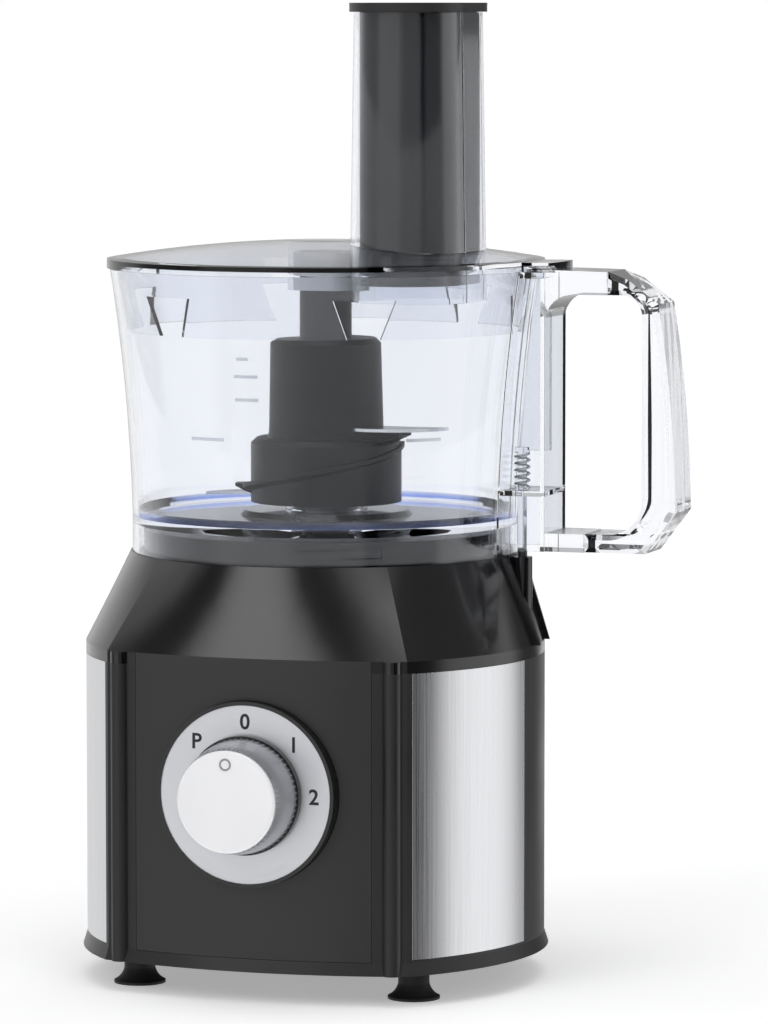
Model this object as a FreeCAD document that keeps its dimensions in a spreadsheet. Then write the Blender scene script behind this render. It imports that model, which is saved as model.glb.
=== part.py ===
"""Food processor: a motor stand, a clear bowl with its blade, and a lid with a feed tube.

Millimetres, +Z up. The origin is where the drive axis meets the surface that the feet
stand on. The front, with the dial, faces -Y, and the bowl's handle points along +X.
"""
import FreeCAD
import Part
import Sketcher
import math
import os
import re

# ---------------------------------------------------------------- driving dimensions
SIZES = {
    # plan outline of the housing: four arcs
    "front_half": 60.5,         # half width of the front
    "front_edge": 80.5,         # depth of the front corners from the drive axis
    "front_reach": 90.0,        # depth of the front at its middle
    "flank_x": 80.5,            # a point that each flank bows through
    "flank_y": 51.8,
    "side_reach": 89.2,         # half width where a flank runs into the back
    "side_y": 18.0,             # that place, ahead of the drive axis
    "back_reach": 77.0,         # depth of the back at its middle
    # stand
    "foot_height": 12.0,        # underside of the housing above the surface
    "housing_height": 115.0,
    "collar_height": 4.5,
    "shoulder_rise": 33.5,
    "shell_wall": 3.0,
    "cover_wall": 2.6,          # wall of the top cover
    "floor_plate": 3.0,         # thickness of the bottom cover
    "fit_gap": 0.2,             # between parts that lift or slide past each other
    "skirt_flare": 1.6,
    "skirt_height": 5.0,
    "pilaster_x": 54.9,
    "pilaster_y": 81.7,
    "pilaster_radius": 3.6,
    "panel_half": 47.5,         # front panel
    "panel_wall": 1.5,
    "panel_foot": 5.0,          # its lower edge above the housing's underside
    "steel_wall": 0.6,
    "steel_front": 78.8,        # the steel panels run from here to steel_back
    "steel_back": 23.0,
    "steel_foot": 6.0,
    "trim_gap": 0.15,           # round a panel in its recess
    # feet
    "foot_front_x": 56.0,
    "foot_front_y": 59.0,
    "foot_back_x": 52.0,
    "foot_back_y": 40.0,
    "pad_radius": 10.0,
    "pad_height": 4.0,
    "neck_radius": 6.0,
    "stem_radius": 4.8,
    "head_radius": 6.6,
    # bottom cover screws
    "screw_side_x": 78.0,
    "screw_side_y": 8.0,
    "screw_front_x": 40.0,
    "screw_front_y": 78.5,
    "screw_radius": 1.6,
    "screw_head": 3.2,
    "screw_head_rise": 1.4,
    "screw_length": 16.0,
    "post_radius": 6.8,
    "post_height": 26.0,
    # dial and knob
    "dial_height": 80.0,        # centre of the dial above the surface
    "bezel_radius": 35.5,
    "bezel_front": 3.2,         # how far the bezel stands out from the front
    "plate_radius": 34.0,
    "plate_wall": 1.5,
    "knob_root": 22.7,
    "knob_root_depth": 2.6,
    "knob_side": 21.6,
    "knob_face": 19.4,
    "knob_depth": 21.0,
    "knob_wall": 2.0,
    "cap_depth": 1.8,
    "spindle_radius": 3.0,
    "running_gap": 0.06,        # radial, round a shaft that turns
    "switch_half": 15.0,
    "switch_depth": 20.0,
    "neck_bush": 8.0,
    # seat of the bowl
    "ledge_radius": 76.5,
    "boss_radius": 71.4,
    "boss_rise": 9.0,
    "lug_depth": 2.0,
    "lug_angle": 12.0,
    "lug_height": 3.0,
    # interlock
    "interlock_radius": 80.6,
    "plunger_radius": 1.8,
    "turret_radius": 3.8,
    "interlock_spring": 10.0,   # height of its spring at rest
    "bay_half": 10.0,
    "rib_wall": 2.4,
    "rib_height": 2.0,
    # motor, hung from the top cover
    "bracket_drop": 6.5,        # its upper bracket above the collar's top edge
    "bracket_wall": 5.0,
    "core_half_x": 40.0,
    "core_half_y": 33.0,
    "core_stack": 38.0,
    "core_drop": 30.0,          # top of the core below the upper bracket
    "bore_radius": 24.0,
    "air_gap": 0.5,
    "slot_outer": 33.0,
    "core_slot_depth": 8.0,     # of the armature's slots
    "core_slot_half": 1.2,
    "coil_height": 9.0,         # of an end turn beyond the core
    "commutator_radius": 12.0,
    "commutator_height": 15.0,
    "shaft_radius": 4.0,
    "bearing_radius": 9.0,
    "bearing_height": 12.0,
    "fan_radius": 34.0,
    "fan_height": 10.0,
    "mount_x": 32.0,
    "mount_y": 26.0,
    "mount_radius": 7.0,
    "mount_height": 8.0,
    # drive
    "coupler_radius": 9.0,
    "coupler_rise": 21.0,       # above the boss
    "coupler_flange": 12.0,
    "spline_radius": 11.0,
    "spline_wall": 3.0,
    "seal_radius": 13.0,
    # bowl
    "cup_foot_radius": 75.8,
    "cup_waist_radius": 78.3,
    "cup_rim_radius": 84.3,
    "cup_height": 110.0,
    "cup_wall": 2.2,
    "cup_floor": 3.0,
    "bush_height": 1.6,         # of the ring between boss and bowl floor
    "bush_inner": 19.0,
    "bush_outer": 26.0,
    "chimney_radius": 16.2,
    "chimney_wall": 2.2,
    "chimney_rise": 20.0,
    "step_radius": 34.0,
    "step_rise": 2.0,
    "column_skin": 3.2,         # of the handle column beyond the interlock rod
    "column_half": 14.0,
    "column_wall": 2.0,
    "cap_wall": 2.4,
    "handle_half": 13.0,
    "arm_thick": 9.3,
    "lower_arm_thick": 7.0,
    "arch_run": 12.0,           # rounded corner of the finger gap at the column
    "arch_drop": 9.0,
    "gap_width": 38.0,          # finger gap, from the column to the grip
    "grip_top": 6.5,            # thickness of the grip at its top
    "grip_foot": 13.5,
    "upper_stub": 24.5,         # from the column to the seam with the grip
    "lower_stub": 15.5,
    "bevel": 2.0,
    # interlock rod in the handle column
    "rod_half": 1.5,
    "rod_foot_height": 38.0,
    "rod_inner": 79.0,
    "rod_top_gap": 1.5,         # from the lid's rim to the rod
    "rod_top_width": 3.3,
    "rod_slot_gap": 0.6,        # round the rod in the column's cap
    "rod_slot_inner_gap": 1.3,  # inward, for the rod's slope as it rises
    "rod_collar": 3.0,
    "rod_spring_height": 15.0,
    "spring_wire": 0.9,
    "spring_radius": 2.75,
    "spring_turns": 5.0,
    # lid
    "lid_overhang": 1.2,        # of the lid's rim beyond the bowl's
    "lid_rim": 3.6,
    "lid_wall": 2.0,
    "dome_rise": 7.0,
    "skirt_drop": 24.0,
    "skirt_wall": 1.6,
    "skirt_gap": 0.6,
    "notch_width": 24.0,
    "notch_foot": 12.0,
    "notch_drop": 15.0,
    "tab_overhang": 3.5,        # of the lid's tab beyond the column
    "ramp_run": 16.5,           # of the ramp under the tab
    "ramp_rise": 2.7,
    "socket_radius": 15.0,
    "socket_drop": 8.0,
    # feed tube and pusher
    "tube_x": 38.0,
    "tube_half": 11.0,          # straight half of its stadium section
    "tube_radius": 23.0,
    "tube_top_radius": 21.5,
    "tube_wall": 1.6,
    "tube_height": 99.0,
    "tube_drop": 12.0,
    "pusher_radius": 19.2,
    "pusher_wall": 1.8,
    "pusher_length": 104.5,
    "flange_radius": 23.2,
    "flange_wall": 3.5,
    # blade
    "hub_gap": 5.0,             # under the hub, above the bowl floor
    "hub_radius": 29.5,
    "hub_height": 25.0,
    "sleeve_radius": 22.5,
    "sleeve_top_radius": 21.5,
    "sleeve_height": 39.0,
    "stem_top_radius": 10.25,
    "adapter_radius": 12.6,
    "socket_gap": 0.15,
    "blade_reach": 48.0,
    "blade_wall": 1.2,
    "blade_step": 27.5,         # height between the two blades
    # control board and air slots
    "board_half": 28.0,
    "board_y": 56.0,
    "board_height": 60.0,
    "board_wall": 1.4,
    "slot_half": 32.0,
    "spindle_back": 14.0,       # how far the spindle reaches back into the switch
    # cord gland
    "gland_height": 16.0,       # above the housing's underside
    "gland_radius": 6.0,
    "gland_reach": 8.0,
}

# Heights and reaches that follow from the sizes above, as expressions over them.
BODY_TOP = "(foot_height + housing_height)"
RIM = f"({BODY_TOP} + collar_height)"
LEDGE = f"({RIM} + shoulder_rise)"
BOSS = f"({LEDGE} + boss_rise)"
CUP_FOOT = f"({LEDGE} + fit_gap)"
CUP_FLOOR = f"({BOSS} + bush_height + 2 * fit_gap)"
CUP_INSIDE = f"({CUP_FLOOR} + cup_floor)"
CUP_RIM = f"({CUP_FOOT} + cup_height)"
LID_FOOT = f"({CUP_RIM} + fit_gap)"
LID_RIM = f"({LID_FOOT} + lid_rim)"
TUBE_TOP = f"({LID_FOOT} + tube_height)"
COLUMN_FOOT = f"({CUP_FOOT} + 2.8)"
HUB_FOOT = f"({CUP_INSIDE} + hub_gap)"
SLEEVE_FOOT = f"({HUB_FOOT} + hub_height)"
STEM_TOP = f"({LID_FOOT} - 4 * fit_gap)"
BRACKET = f"({RIM} + bracket_drop)"
CORE_TOP = f"({BRACKET} - core_drop)"
CORE_FOOT = f"({CORE_TOP} - core_stack)"
QUARTER = "0.292893"        # where a quarter circle bows to, as a share of its radius
FRONT_BOW = "(front_reach - front_edge)"
# how far the front wall has curved back at the sides of the rotary switch
SWITCH_BOW = (f"(switch_half * switch_half * {FRONT_BOW}"
              f" / (front_half * front_half + {FRONT_BOW} * {FRONT_BOW}))")
LID_RADIUS = "(cup_rim_radius + lid_overhang)"
ROD_TOP_INNER = f"({LID_RADIUS} + rod_top_gap)"
ROD_OUTER = f"({ROD_TOP_INNER} + rod_top_width)"
COLUMN_REACH = f"({ROD_OUTER} + column_skin)"
TAB_REACH = f"({COLUMN_REACH} + tab_overhang)"
GAP_REACH = f"({COLUMN_REACH} + gap_width)"
GRIP_TOP_REACH = f"({GAP_REACH} + grip_top)"
GRIP_FOOT_REACH = f"({GAP_REACH} + grip_foot)"
SEAM_REACH = f"({COLUMN_REACH} + upper_stub)"
LOWER_SEAM_REACH = f"({COLUMN_REACH} + lower_stub)"
PLATE_BACK = "(-front_reach - bezel_front + plate_wall + 0.4)"
KNOB_BACK = "(-front_reach - bezel_front - fit_gap)"
FRONT_INSIDE = "(front_reach - shell_wall)"
MOUNT_FOOT = f"({BRACKET} + bracket_wall)"
MOUNT_TOP = f"({MOUNT_FOOT} + mount_height)"
LOWER_BEARING = f"({CORE_FOOT} - coil_height - commutator_height - 4 - bearing_height)"
COUPLER_ROOT = f"({BRACKET} + bracket_wall + 8)"
CUP_WAIST_Z = f"({CUP_FOOT} + cup_height * 0.55)"
GUIDE_FOOT = f"({COLUMN_FOOT} + rod_foot_height - rod_spring_height - 2)"
SLEEVE_TOP = f"({SLEEVE_FOOT} + sleeve_height)"
SLEEVE_TOP_LOW = f"({SLEEVE_FOOT} + sleeve_height - 2)"
CAVITY_TOP = f"({CUP_INSIDE} + chimney_rise + 2)"
TUBE_FOOT = f"({LID_FOOT} - tube_drop)"
DOME = f"({LID_RIM} + dome_rise)"
TURRET_TOP = f"({LEDGE} - 0.5)"
PLUNGER_TOP = f"({COLUMN_FOOT} - 1.5 * fit_gap)"
COLLAR_FOOT = f"({BODY_TOP} - 9)"
COUPLER_TOP = f"({BOSS} + coupler_rise)"

doc = FreeCAD.newDocument("FoodProcessor")
sheet = doc.addObject("Spreadsheet::Sheet", "Sizes")
for row, (alias, number) in enumerate(SIZES.items(), start=1):
    sheet.set(f"A{row}", alias)
    sheet.set(f"B{row}", str(number))
    sheet.setAlias(f"B{row}", alias)
doc.recompute()

SUBPARTS = []


# ---------------------------------------------------------------- helpers
def size(words):
    """Number that an expression over the sheet's sizes gives."""
    return float(sheet.evalExpression(words))


def bound(words):
    """The same expression as another object writes it."""
    return re.sub(r"[a-z][a-z_]+", lambda name: "Sizes." + name.group(), words)


def bind(obj, **expressions):
    """Tie properties of an object to sizes."""
    for name, words in expressions.items():
        obj.setExpression(name, bound(words))
    return obj


def place(obj, x="0", y="0", z="0", turn=None):
    """Put an object at a point, turned by (axis, degrees) first."""
    if turn:
        obj.Placement = FreeCAD.Placement(FreeCAD.Vector(), FreeCAD.Rotation(*turn))
    for axis, words in zip("xyz", (x, y, z)):
        if words != "0":
            obj.setExpression(f"Placement.Base.{axis}", bound(words))
    return obj


def keep(obj, label):
    """Name an object as a finished sub-part."""
    obj.Label = label
    SUBPARTS.append(obj)
    return obj


def box(x, y, z, length, width, height):
    """Box from its lowest corner."""
    solid = doc.addObject("Part::Box", "Block")
    bind(solid, Length=length, Width=width, Height=height)
    return place(solid, x, y, z)


def rod(radius, height, x="0", y="0", z="0", turn=None):
    """Cylinder from the centre of its lower face."""
    solid = doc.addObject("Part::Cylinder", "Rod")
    bind(solid, Radius=radius, Height=height)
    return place(solid, x, y, z, turn)


def tube(outer, inner, height, x="0", y="0", z="0"):
    """Straight ring."""
    return cut(rod(outer, height, x, y, z), rod(inner, height, x, y, z))


def cut(base, *tools):
    """Base less each tool."""
    for tool in tools:
        result = doc.addObject("Part::Cut", "Cut")
        result.Base = base
        result.Tool = tool
        base = result
    return base


def fuse(*pieces):
    """Pieces as one solid."""
    result = doc.addObject("Part::MultiFuse", "Fuse")
    result.Shapes = list(pieces)
    result.Refine = True
    return result


def gather(*pieces):
    """Separate solids that share one sub-part."""
    result = doc.addObject("Part::Compound", "Group")
    result.Links = list(pieces)
    return result


def common(base, tool):
    """What two solids share."""
    result = doc.addObject("Part::Common", "Common")
    result.Base = base
    result.Tool = tool
    return result


def shaped(shape, name="Shape"):
    """A shape worked out in code as an object of the document."""
    feature = doc.addObject("Part::Feature", name)
    feature.Shape = shape
    return feature


DOMED = ("domed",)      # the edge between two corners is an arc centred on the turning axis


def via(x, y):
    """A point that the edge between two corners bows through."""
    return ("via", x, y)


def dome_middle(start, stop):
    """Middle of the arc between two points whose centre is on the vertical axis."""
    centre = (stop.dot(stop) - start.dot(start)) / (2 * (stop.y - start.y))
    centre = FreeCAD.Vector(0, centre, 0)
    outward = ((start + stop) / 2 - centre).normalize()
    return centre + outward * start.distanceToPoint(centre)


def fix_point(sketch, geometry, end, words):
    """Hold a point of a sketch at two expressions."""
    for direction, axis, expression in (("DistanceX", -2, words[0]), ("DistanceY", -1, words[1])):
        if expression == "0":
            sketch.addConstraint(Sketcher.Constraint("PointOnObject", geometry, end, axis))
            continue
        index = sketch.addConstraint(
            Sketcher.Constraint(direction, geometry, end, size(expression)))
        sketch.setExpression(f"Constraints[{index}]", bound(expression))


def draw(sketch, outline):
    """Closed outline of straight edges, and arcs where a via point stands between corners."""
    corners = [point for point in outline if point[0] not in ("via", "domed")]
    middles = {}
    for before, point in zip(outline, outline[1:] + outline[:1]):
        if point[0] in ("via", "domed"):
            middles[before] = point[1:]
    ends = []
    for here, there in zip(corners, corners[1:] + corners[:1]):
        start, stop = (FreeCAD.Vector(size(p[0]), size(p[1]), 0) for p in (here, there))
        if middles.get(here) == ():
            edge = sketch.addGeometry(Part.Arc(start, dome_middle(start, stop), stop))
            sketch.addConstraint(Sketcher.Constraint("PointOnObject", edge, 3, -2))
        elif here in middles:
            words = middles[here]
            middle = FreeCAD.Vector(size(words[0]), size(words[1]), 0)
            edge = sketch.addGeometry(Part.Arc(start, middle, stop))
            mark = sketch.addGeometry(Part.Point(middle), True)
            sketch.addConstraint(Sketcher.Constraint("PointOnObject", mark, 1, edge))
            fix_point(sketch, mark, 1, words)
        else:
            edge = sketch.addGeometry(Part.LineSegment(start, stop))
        forward = sketch.getPoint(edge, 1).distanceToPoint(start) < 1e-6
        ends.append((edge, 1, 2) if forward else (edge, 2, 1))
    for (edge, _, stop), (other, start, _) in zip(ends, ends[1:] + ends[:1]):
        sketch.addConstraint(Sketcher.Constraint("Coincident", edge, stop, other, start))
    for (edge, start, _), words in zip(ends, corners):
        fix_point(sketch, edge, start, words)


def sketched_body(name, plane, outline, lift="0"):
    """PartDesign body with one sketch on an origin plane."""
    body = doc.addObject("PartDesign::Body", name)
    sketch = body.newObject("Sketcher::SketchObject", name + "Sketch")
    support = [o for o in body.Origin.OriginFeatures if o.Role == plane][0]
    sketch.AttachmentSupport = [(support, "")]
    sketch.MapMode = "FlatFace"
    if lift != "0":
        sketch.setExpression("AttachmentOffset.Base.z", bound(lift))
    draw(sketch, outline)
    return body, sketch


def turned(name, outline, x="0", y="0", z="0", turn=None):
    """Body turned about Z from half its section, given as (radius, height) corners."""
    body, sketch = sketched_body(name, "XZ_Plane", outline)
    spin = body.newObject("PartDesign::Revolution", name + "Turn")
    spin.Profile = sketch
    spin.ReferenceAxis = (sketch, ["V_Axis"])
    spin.Angle = 360
    return place(body, x, y, z, turn)


def padded(name, outline, height, z="0", plane="XY_Plane", both_ways=False):
    """Body padded from an outline on an origin plane."""
    body, sketch = sketched_body(name, plane, outline, z)
    pad = body.newObject("PartDesign::Pad", name + "Pad")
    pad.Profile = sketch
    bind(pad, Length=height)
    if both_ways:
        pad.Midplane = True
    return body


def bevelled(body, amount):
    """Chamfer the edges that bound a padded body's two end faces."""
    doc.recompute()
    ends = (body.Shape.BoundBox.YMin, body.Shape.BoundBox.YMax)
    pad = body.Tip
    rims = [f"Edge{number}" for number, edge in enumerate(pad.Shape.Edges, start=1)
            if any(all(abs(v.Y - end) < 1e-6 for v in edge.Vertexes) for end in ends)]
    chamfer = body.newObject("PartDesign::Chamfer", body.Name + "Bevel")
    chamfer.Base = (pad, rims)
    bind(chamfer, Size=amount)
    return body


def ring(outer, inner, low, high):
    """Half section of a straight ring."""
    return [(inner, low), (outer, low), (outer, high), (inner, high)]


ALONG_FRONT = (FreeCAD.Vector(1, 0, 0), 90)     # turns a body's +Z to point out of the front


# ---------------------------------------------------------------- plan outline of the stand
def plan(grow=0.0, height=0.0):
    """Wire of the housing's plan outline, moved outward by grow, at a height."""
    front_half = size("front_half")
    front_edge = size("front_edge")
    flank = (size("flank_x"), size("flank_y"))
    side = (size("side_reach"), size("side_y"))
    points = [
        ((-front_half, -front_edge), (0, -size("front_reach")), (front_half, -front_edge)),
        ((front_half, -front_edge), (flank[0], -flank[1]), (side[0], -side[1])),
        ((side[0], -side[1]), (0, size("back_reach")), (-side[0], -side[1])),
        ((-side[0], -side[1]), (-flank[0], -flank[1]), (-front_half, -front_edge)),
    ]
    arcs = [Part.Arc(*(FreeCAD.Vector(x, y, 0) for x, y in three)).toShape() for three in points]
    wire = Part.Wire(arcs)
    if grow:
        wire = wire.makeOffset2D(grow, 2)
    wire.translate(FreeCAD.Vector(0, 0, height))
    return wire


def slab(grow, low, high):
    """Solid of the plan outline between two heights."""
    face = Part.Face(plan(grow, size(low)))
    return face.extrude(FreeCAD.Vector(0, 0, size(high) - size(low)))


def circle_at_corners(radius, height, wire):
    """Circle in four arcs that start under the corners of a plan outline."""
    corners = [edge.valueAt(edge.FirstParameter) for edge in wire.OrderedEdges]
    angles = [math.atan2(point.y, point.x) for point in corners]
    arcs = []
    for start, stop in zip(angles, angles[1:] + angles[:1]):
        while stop < start:
            stop += 2 * math.pi
        steps = (start, (start + stop) / 2, stop)
        ends = [FreeCAD.Vector(radius * math.cos(a), radius * math.sin(a), height) for a in steps]
        arcs.append(Part.Arc(*ends).toShape())
    return Part.Wire(arcs)


def shoulder(grow, low, high, radius):
    """Loft from the plan outline up to a circle."""
    lower = plan(grow, size(low))
    upper = circle_at_corners(size(radius) + grow, size(high), lower)
    return Part.makeLoft([lower, upper], True, True)


def slab_object(grow, low, high):
    """Slab of the plan outline, as an object of the document."""
    return shaped(slab(size(grow), low, high), "PlanSlab")


# ---------------------------------------------------------------- stand shells
def front_recess(grow):
    """Block that takes the front panel, grown by a gap all round."""
    return box(f"-panel_half - {grow}", "-front_reach - 10",
               f"foot_height + panel_foot - {grow}", f"2 * (panel_half + {grow})",
               "front_reach", f"{RIM} - foot_height - panel_foot + {grow}")


def steel_region(side, grow):
    """Block that bounds one steel panel."""
    low = "front_half - 8" if side > 0 else "-side_reach - 20"
    return box(low, f"-steel_front - {grow}", f"foot_height + steel_foot - {grow}",
               "side_reach - front_half + 28",
               f"steel_front - steel_back + 2 * {grow}",
               f"housing_height - steel_foot + {grow}")


def pilasters(low, high):
    """Two half-round bars at the front corners."""
    return [rod("pilaster_radius", f"{high} - {low}", x, "-pilaster_y", low)
            for x in ("-pilaster_x", "pilaster_x")]


def screw_places():
    """Centres of the four screws that hold the bottom cover."""
    return [("screw_side_x", "screw_side_y"), ("-screw_side_x", "screw_side_y"),
            ("screw_front_x", "-screw_front_y"), ("-screw_front_x", "-screw_front_y")]


def foot_places():
    """Name and centre of each foot."""
    return {"foot_front_left": ("-foot_front_x", "-foot_front_y"),
            "foot_front_right": ("foot_front_x", "-foot_front_y"),
            "foot_back_left": ("-foot_back_x", "foot_back_y"),
            "foot_back_right": ("foot_back_x", "foot_back_y")}


def main_housing():
    """Shell of the stand, open at top and bottom, with posts for the cover screws."""
    shell = fuse(slab_object("0", "foot_height", BODY_TOP), *pilasters("foot_height", BODY_TOP),
                 shaped(skirt(), "Skirt"))
    hollow = slab_object("-shell_wall", "foot_height", BODY_TOP)
    skins = shaped(slab(20, "foot_height", BODY_TOP).cut(
        slab(-size("steel_wall"), "foot_height", BODY_TOP)), "SteelDepth")
    recesses = [common(skins, steel_region(side, "trim_gap")) for side in (1, -1)]
    front_skin = shaped(slab(20, "foot_height", RIM).cut(
        slab(-size("panel_wall"), "foot_height", RIM)), "PanelDepth")
    recesses.append(common(front_skin, front_recess("trim_gap")))
    posts = [rod("post_radius", "post_height", x, y, "foot_height + floor_plate")
             for x, y in screw_places()]
    inside = common(gather(*posts), slab_object("-shell_wall / 2", "foot_height", BODY_TOP))
    threads = [rod("screw_radius", "screw_length", x, y, "foot_height")
               for x, y in screw_places()]
    neck = rod("neck_bush", "40", "0", "-front_reach + 20", "dial_height", ALONG_FRONT)
    gland = rod("gland_radius", "40", "0", "back_reach + 10", "foot_height + gland_height",
                ALONG_FRONT)
    shell = cut(shell, hollow, *recesses)
    return keep(cut(fuse(shell, inside), *threads, neck, gland), "main_housing")


def skirt():
    """Band round the foot of the housing that widens downward."""
    low, high = size("foot_height"), size("foot_height + skirt_height")
    flare = Part.makeLoft([plan(size("skirt_flare"), low), plan(0.0, high)], True, True)
    return flare.cut(slab(-1.0, "foot_height", "foot_height + skirt_height"))


def front_panel():
    """Black panel glued in the recess of the front, with a hole for the bezel."""
    skin = shaped(slab(0.0, "foot_height", RIM).cut(
        slab(-size("panel_wall"), "foot_height", RIM)), "PanelSkin")
    hole = rod("bezel_radius + trim_gap", "60", "0", "-front_reach + 30", "dial_height", ALONG_FRONT)
    panel = cut(common(skin, front_recess("0")), hole)
    return keep(panel, "front_panel")


def steel_panels():
    """Brushed steel sheet let into each flank."""
    skin = shaped(slab(0.0, "foot_height", BODY_TOP).cut(
        slab(-size("steel_wall"), "foot_height", BODY_TOP)), "SteelSkin")
    trim = box("-side_reach - 20", "-side_reach - 20", f"{BODY_TOP} - trim_gap",
               "2 * side_reach + 40", "2 * side_reach + 40", "5")
    for side, name in ((1, "steel_panel_right"), (-1, "steel_panel_left")):
        keep(cut(common(skin, steel_region(side, "0")), trim), name)


def top_cover():
    """Collar, shoulder and boss that the bowl sits on, with the interlock turret and bay."""
    outer = slab(0.0, BODY_TOP, RIM).fuse(shoulder(0.0, RIM, LEDGE, "ledge_radius"))
    wall = size("cover_wall")
    inner = slab(-wall, BODY_TOP, RIM).fuse(
        shoulder(-wall, RIM, f"{LEDGE} - cover_wall", "ledge_radius"))
    ribs = shoulder(size("rib_height"), RIM, LEDGE, "ledge_radius")
    bay = [box("ledge_radius - 6", side, RIM, "40", "rib_wall", "shoulder_rise - 0.5")
           for side in ("bay_half", "-bay_half - rib_wall")]
    rib_pair = common(gather(*bay), shaped(ribs, "RibLimit"))
    boss = turned("Boss", ring("boss_radius", "boss_radius - cover_wall",
                               f"{LEDGE} - cover_wall", BOSS))
    roof = rod("boss_radius", "cover_wall", "0", "0", f"{BOSS} - cover_wall")
    turret = rod("turret_radius", f"{TURRET_TOP} - {RIM} - 4", "interlock_radius", "0",
                 f"{RIM} + 4")
    guide = rod("plunger_radius + running_gap", f"{TURRET_TOP} - {RIM} + 20",
                "interlock_radius", "0", f"{RIM} - 10")
    shell = cut(fuse(shaped(outer, "CoverOuter"), *pilasters(BODY_TOP, RIM), rib_pair),
                shaped(inner, "CoverInner"),
                rod("boss_radius - cover_wall", "boss_rise + 4", "0", "0",
                    f"{LEDGE} - cover_wall - 1"))
    posts = [rod("mount_radius - 1", f"{BOSS} - cover_wall - {MOUNT_TOP}", x, y, MOUNT_TOP)
             for x, y in mount_places()]
    whole = fuse(shell, boss, roof, turret, *posts, *lugs("boss_radius", 1, "0"))
    skin = shaped(slab(20, "foot_height", RIM).cut(
        slab(-size("panel_wall"), "foot_height", RIM)), "PanelDepthTop")
    threads = [rod("screw_radius", "mount_height + 4", x, y, MOUNT_TOP) for x, y in mount_places()]
    seal = rod("seal_radius", "cover_wall + 2", "0", "0", f"{BOSS} - cover_wall - 1")
    return keep(cut(whole, common(skin, front_recess("trim_gap")), guide, seal, *threads),
                "top_cover")


def lugs(radius, outward, ahead):
    """Three bayonet lugs on a wall, outward from a boss or inward from a skirt."""
    made = []
    for turn in (40, 160, 280):
        sector = doc.addObject("Part::Cylinder", "Lug")
        bind(sector, Height="lug_height", Angle="lug_angle",
             Radius=f"{radius} + lug_depth" if outward > 0 else f"{radius} + 1")
        place(sector, z=f"{LEDGE} + lug_height")
        sector.Placement.Rotation = FreeCAD.Rotation(FreeCAD.Vector(0, 0, 1),
                                                     turn + size(ahead))
        core = rod(f"{radius} - 1" if outward > 0 else f"{radius} - lug_depth",
                   "lug_height + 2", "0", "0", f"{LEDGE} + lug_height - 1")
        made.append(cut(sector, core))
    return made


def bottom_cover():
    """Plate that closes the stand, with air slots, screw holes and rails for the board."""
    plate = slab_object("-shell_wall - fit_gap", "foot_height", "foot_height + floor_plate")
    floor_top = "foot_height + floor_plate"
    rails = [box(x, "board_y - 3", floor_top, "4", "7.6", "26")
             for x in ("-board_half - 2", "board_half - 2")]
    holes = [rod("stem_radius", "floor_plate + 2", x, y, "foot_height - 1")
             for x, y in foot_places().values()]
    holes += [rod("screw_radius + fit_gap", "floor_plate + 2", x, y, "foot_height - 1")
              for x, y in screw_places()]
    holes += [rod("screw_head + fit_gap", "1.6", x, y, "foot_height") for x, y in screw_places()]
    slots = [box("-slot_half", f"{row} * 8 - 1.5", "foot_height - 1", "2 * slot_half", "3",
                 "floor_plate + 2") for row in range(-3, 4)]
    groove = box("-board_half", "board_y", floor_top, "2 * board_half", "1.6", "28")
    return keep(cut(fuse(plate, *rails), *holes, *slots, groove), "bottom_cover")


def feet():
    """Four rubber suction feet, each held by its head above the bottom cover."""
    outline = [("0", "1.6"), ("pad_radius - 3", "0.6"), ("pad_radius - 2", "0"),
               ("pad_radius", "0"), ("pad_radius", "1"), via("pad_radius - 2.6", "pad_height - 1"),
               ("neck_radius", "pad_height + 2"), ("neck_radius", "foot_height"),
               ("stem_radius", "foot_height"), ("stem_radius", "foot_height + floor_plate"),
               ("head_radius", "foot_height + floor_plate"),
               ("stem_radius", "foot_height + floor_plate + 3"),
               ("0", "foot_height + floor_plate + 3")]
    for name, (x, y) in foot_places().items():
        keep(turned(name.title().replace("_", ""), outline, x, y), name)


def screw(x, y, z, length):
    """Pan-head screw with its head at z and its shank running up."""
    return fuse(rod("screw_head", "screw_head_rise", x, y, z), rod("screw_radius", length, x, y, z))


def cover_screws():
    """Four screws up through the bottom cover into the housing posts."""
    screws = [screw(x, y, "(foot_height + 0.1)", "(screw_length - 1)")
              for x, y in screw_places()]
    return keep(gather(*screws), "cover_screws")


# ---------------------------------------------------------------- dial, knob and switch
def dial():
    """Bezel seated on the housing behind the front panel, and the plate with the marks."""
    body = rod("bezel_radius", "bezel_front + 14", "0", "-front_reach + 14", "dial_height",
               ALONG_FRONT)
    inside = slab_object("-panel_wall", "foot_height", RIM)
    seat = rod("plate_radius + fit_gap / 4", "plate_wall + 0.4", "0", PLATE_BACK, "dial_height",
               ALONG_FRONT)
    bore = rod("neck_bush + 3", "60", "0", "-front_reach + 30", "dial_height", ALONG_FRONT)
    keep(cut(body, inside, seat, bore), "dial_bezel")
    plate = rod("plate_radius", "plate_wall", "0", PLATE_BACK, "dial_height", ALONG_FRONT)
    keep(cut(plate, rod("neck_bush + 3", "60", "0", "-front_reach + 30", "dial_height",
                        ALONG_FRONT)), "dial_plate")


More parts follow.
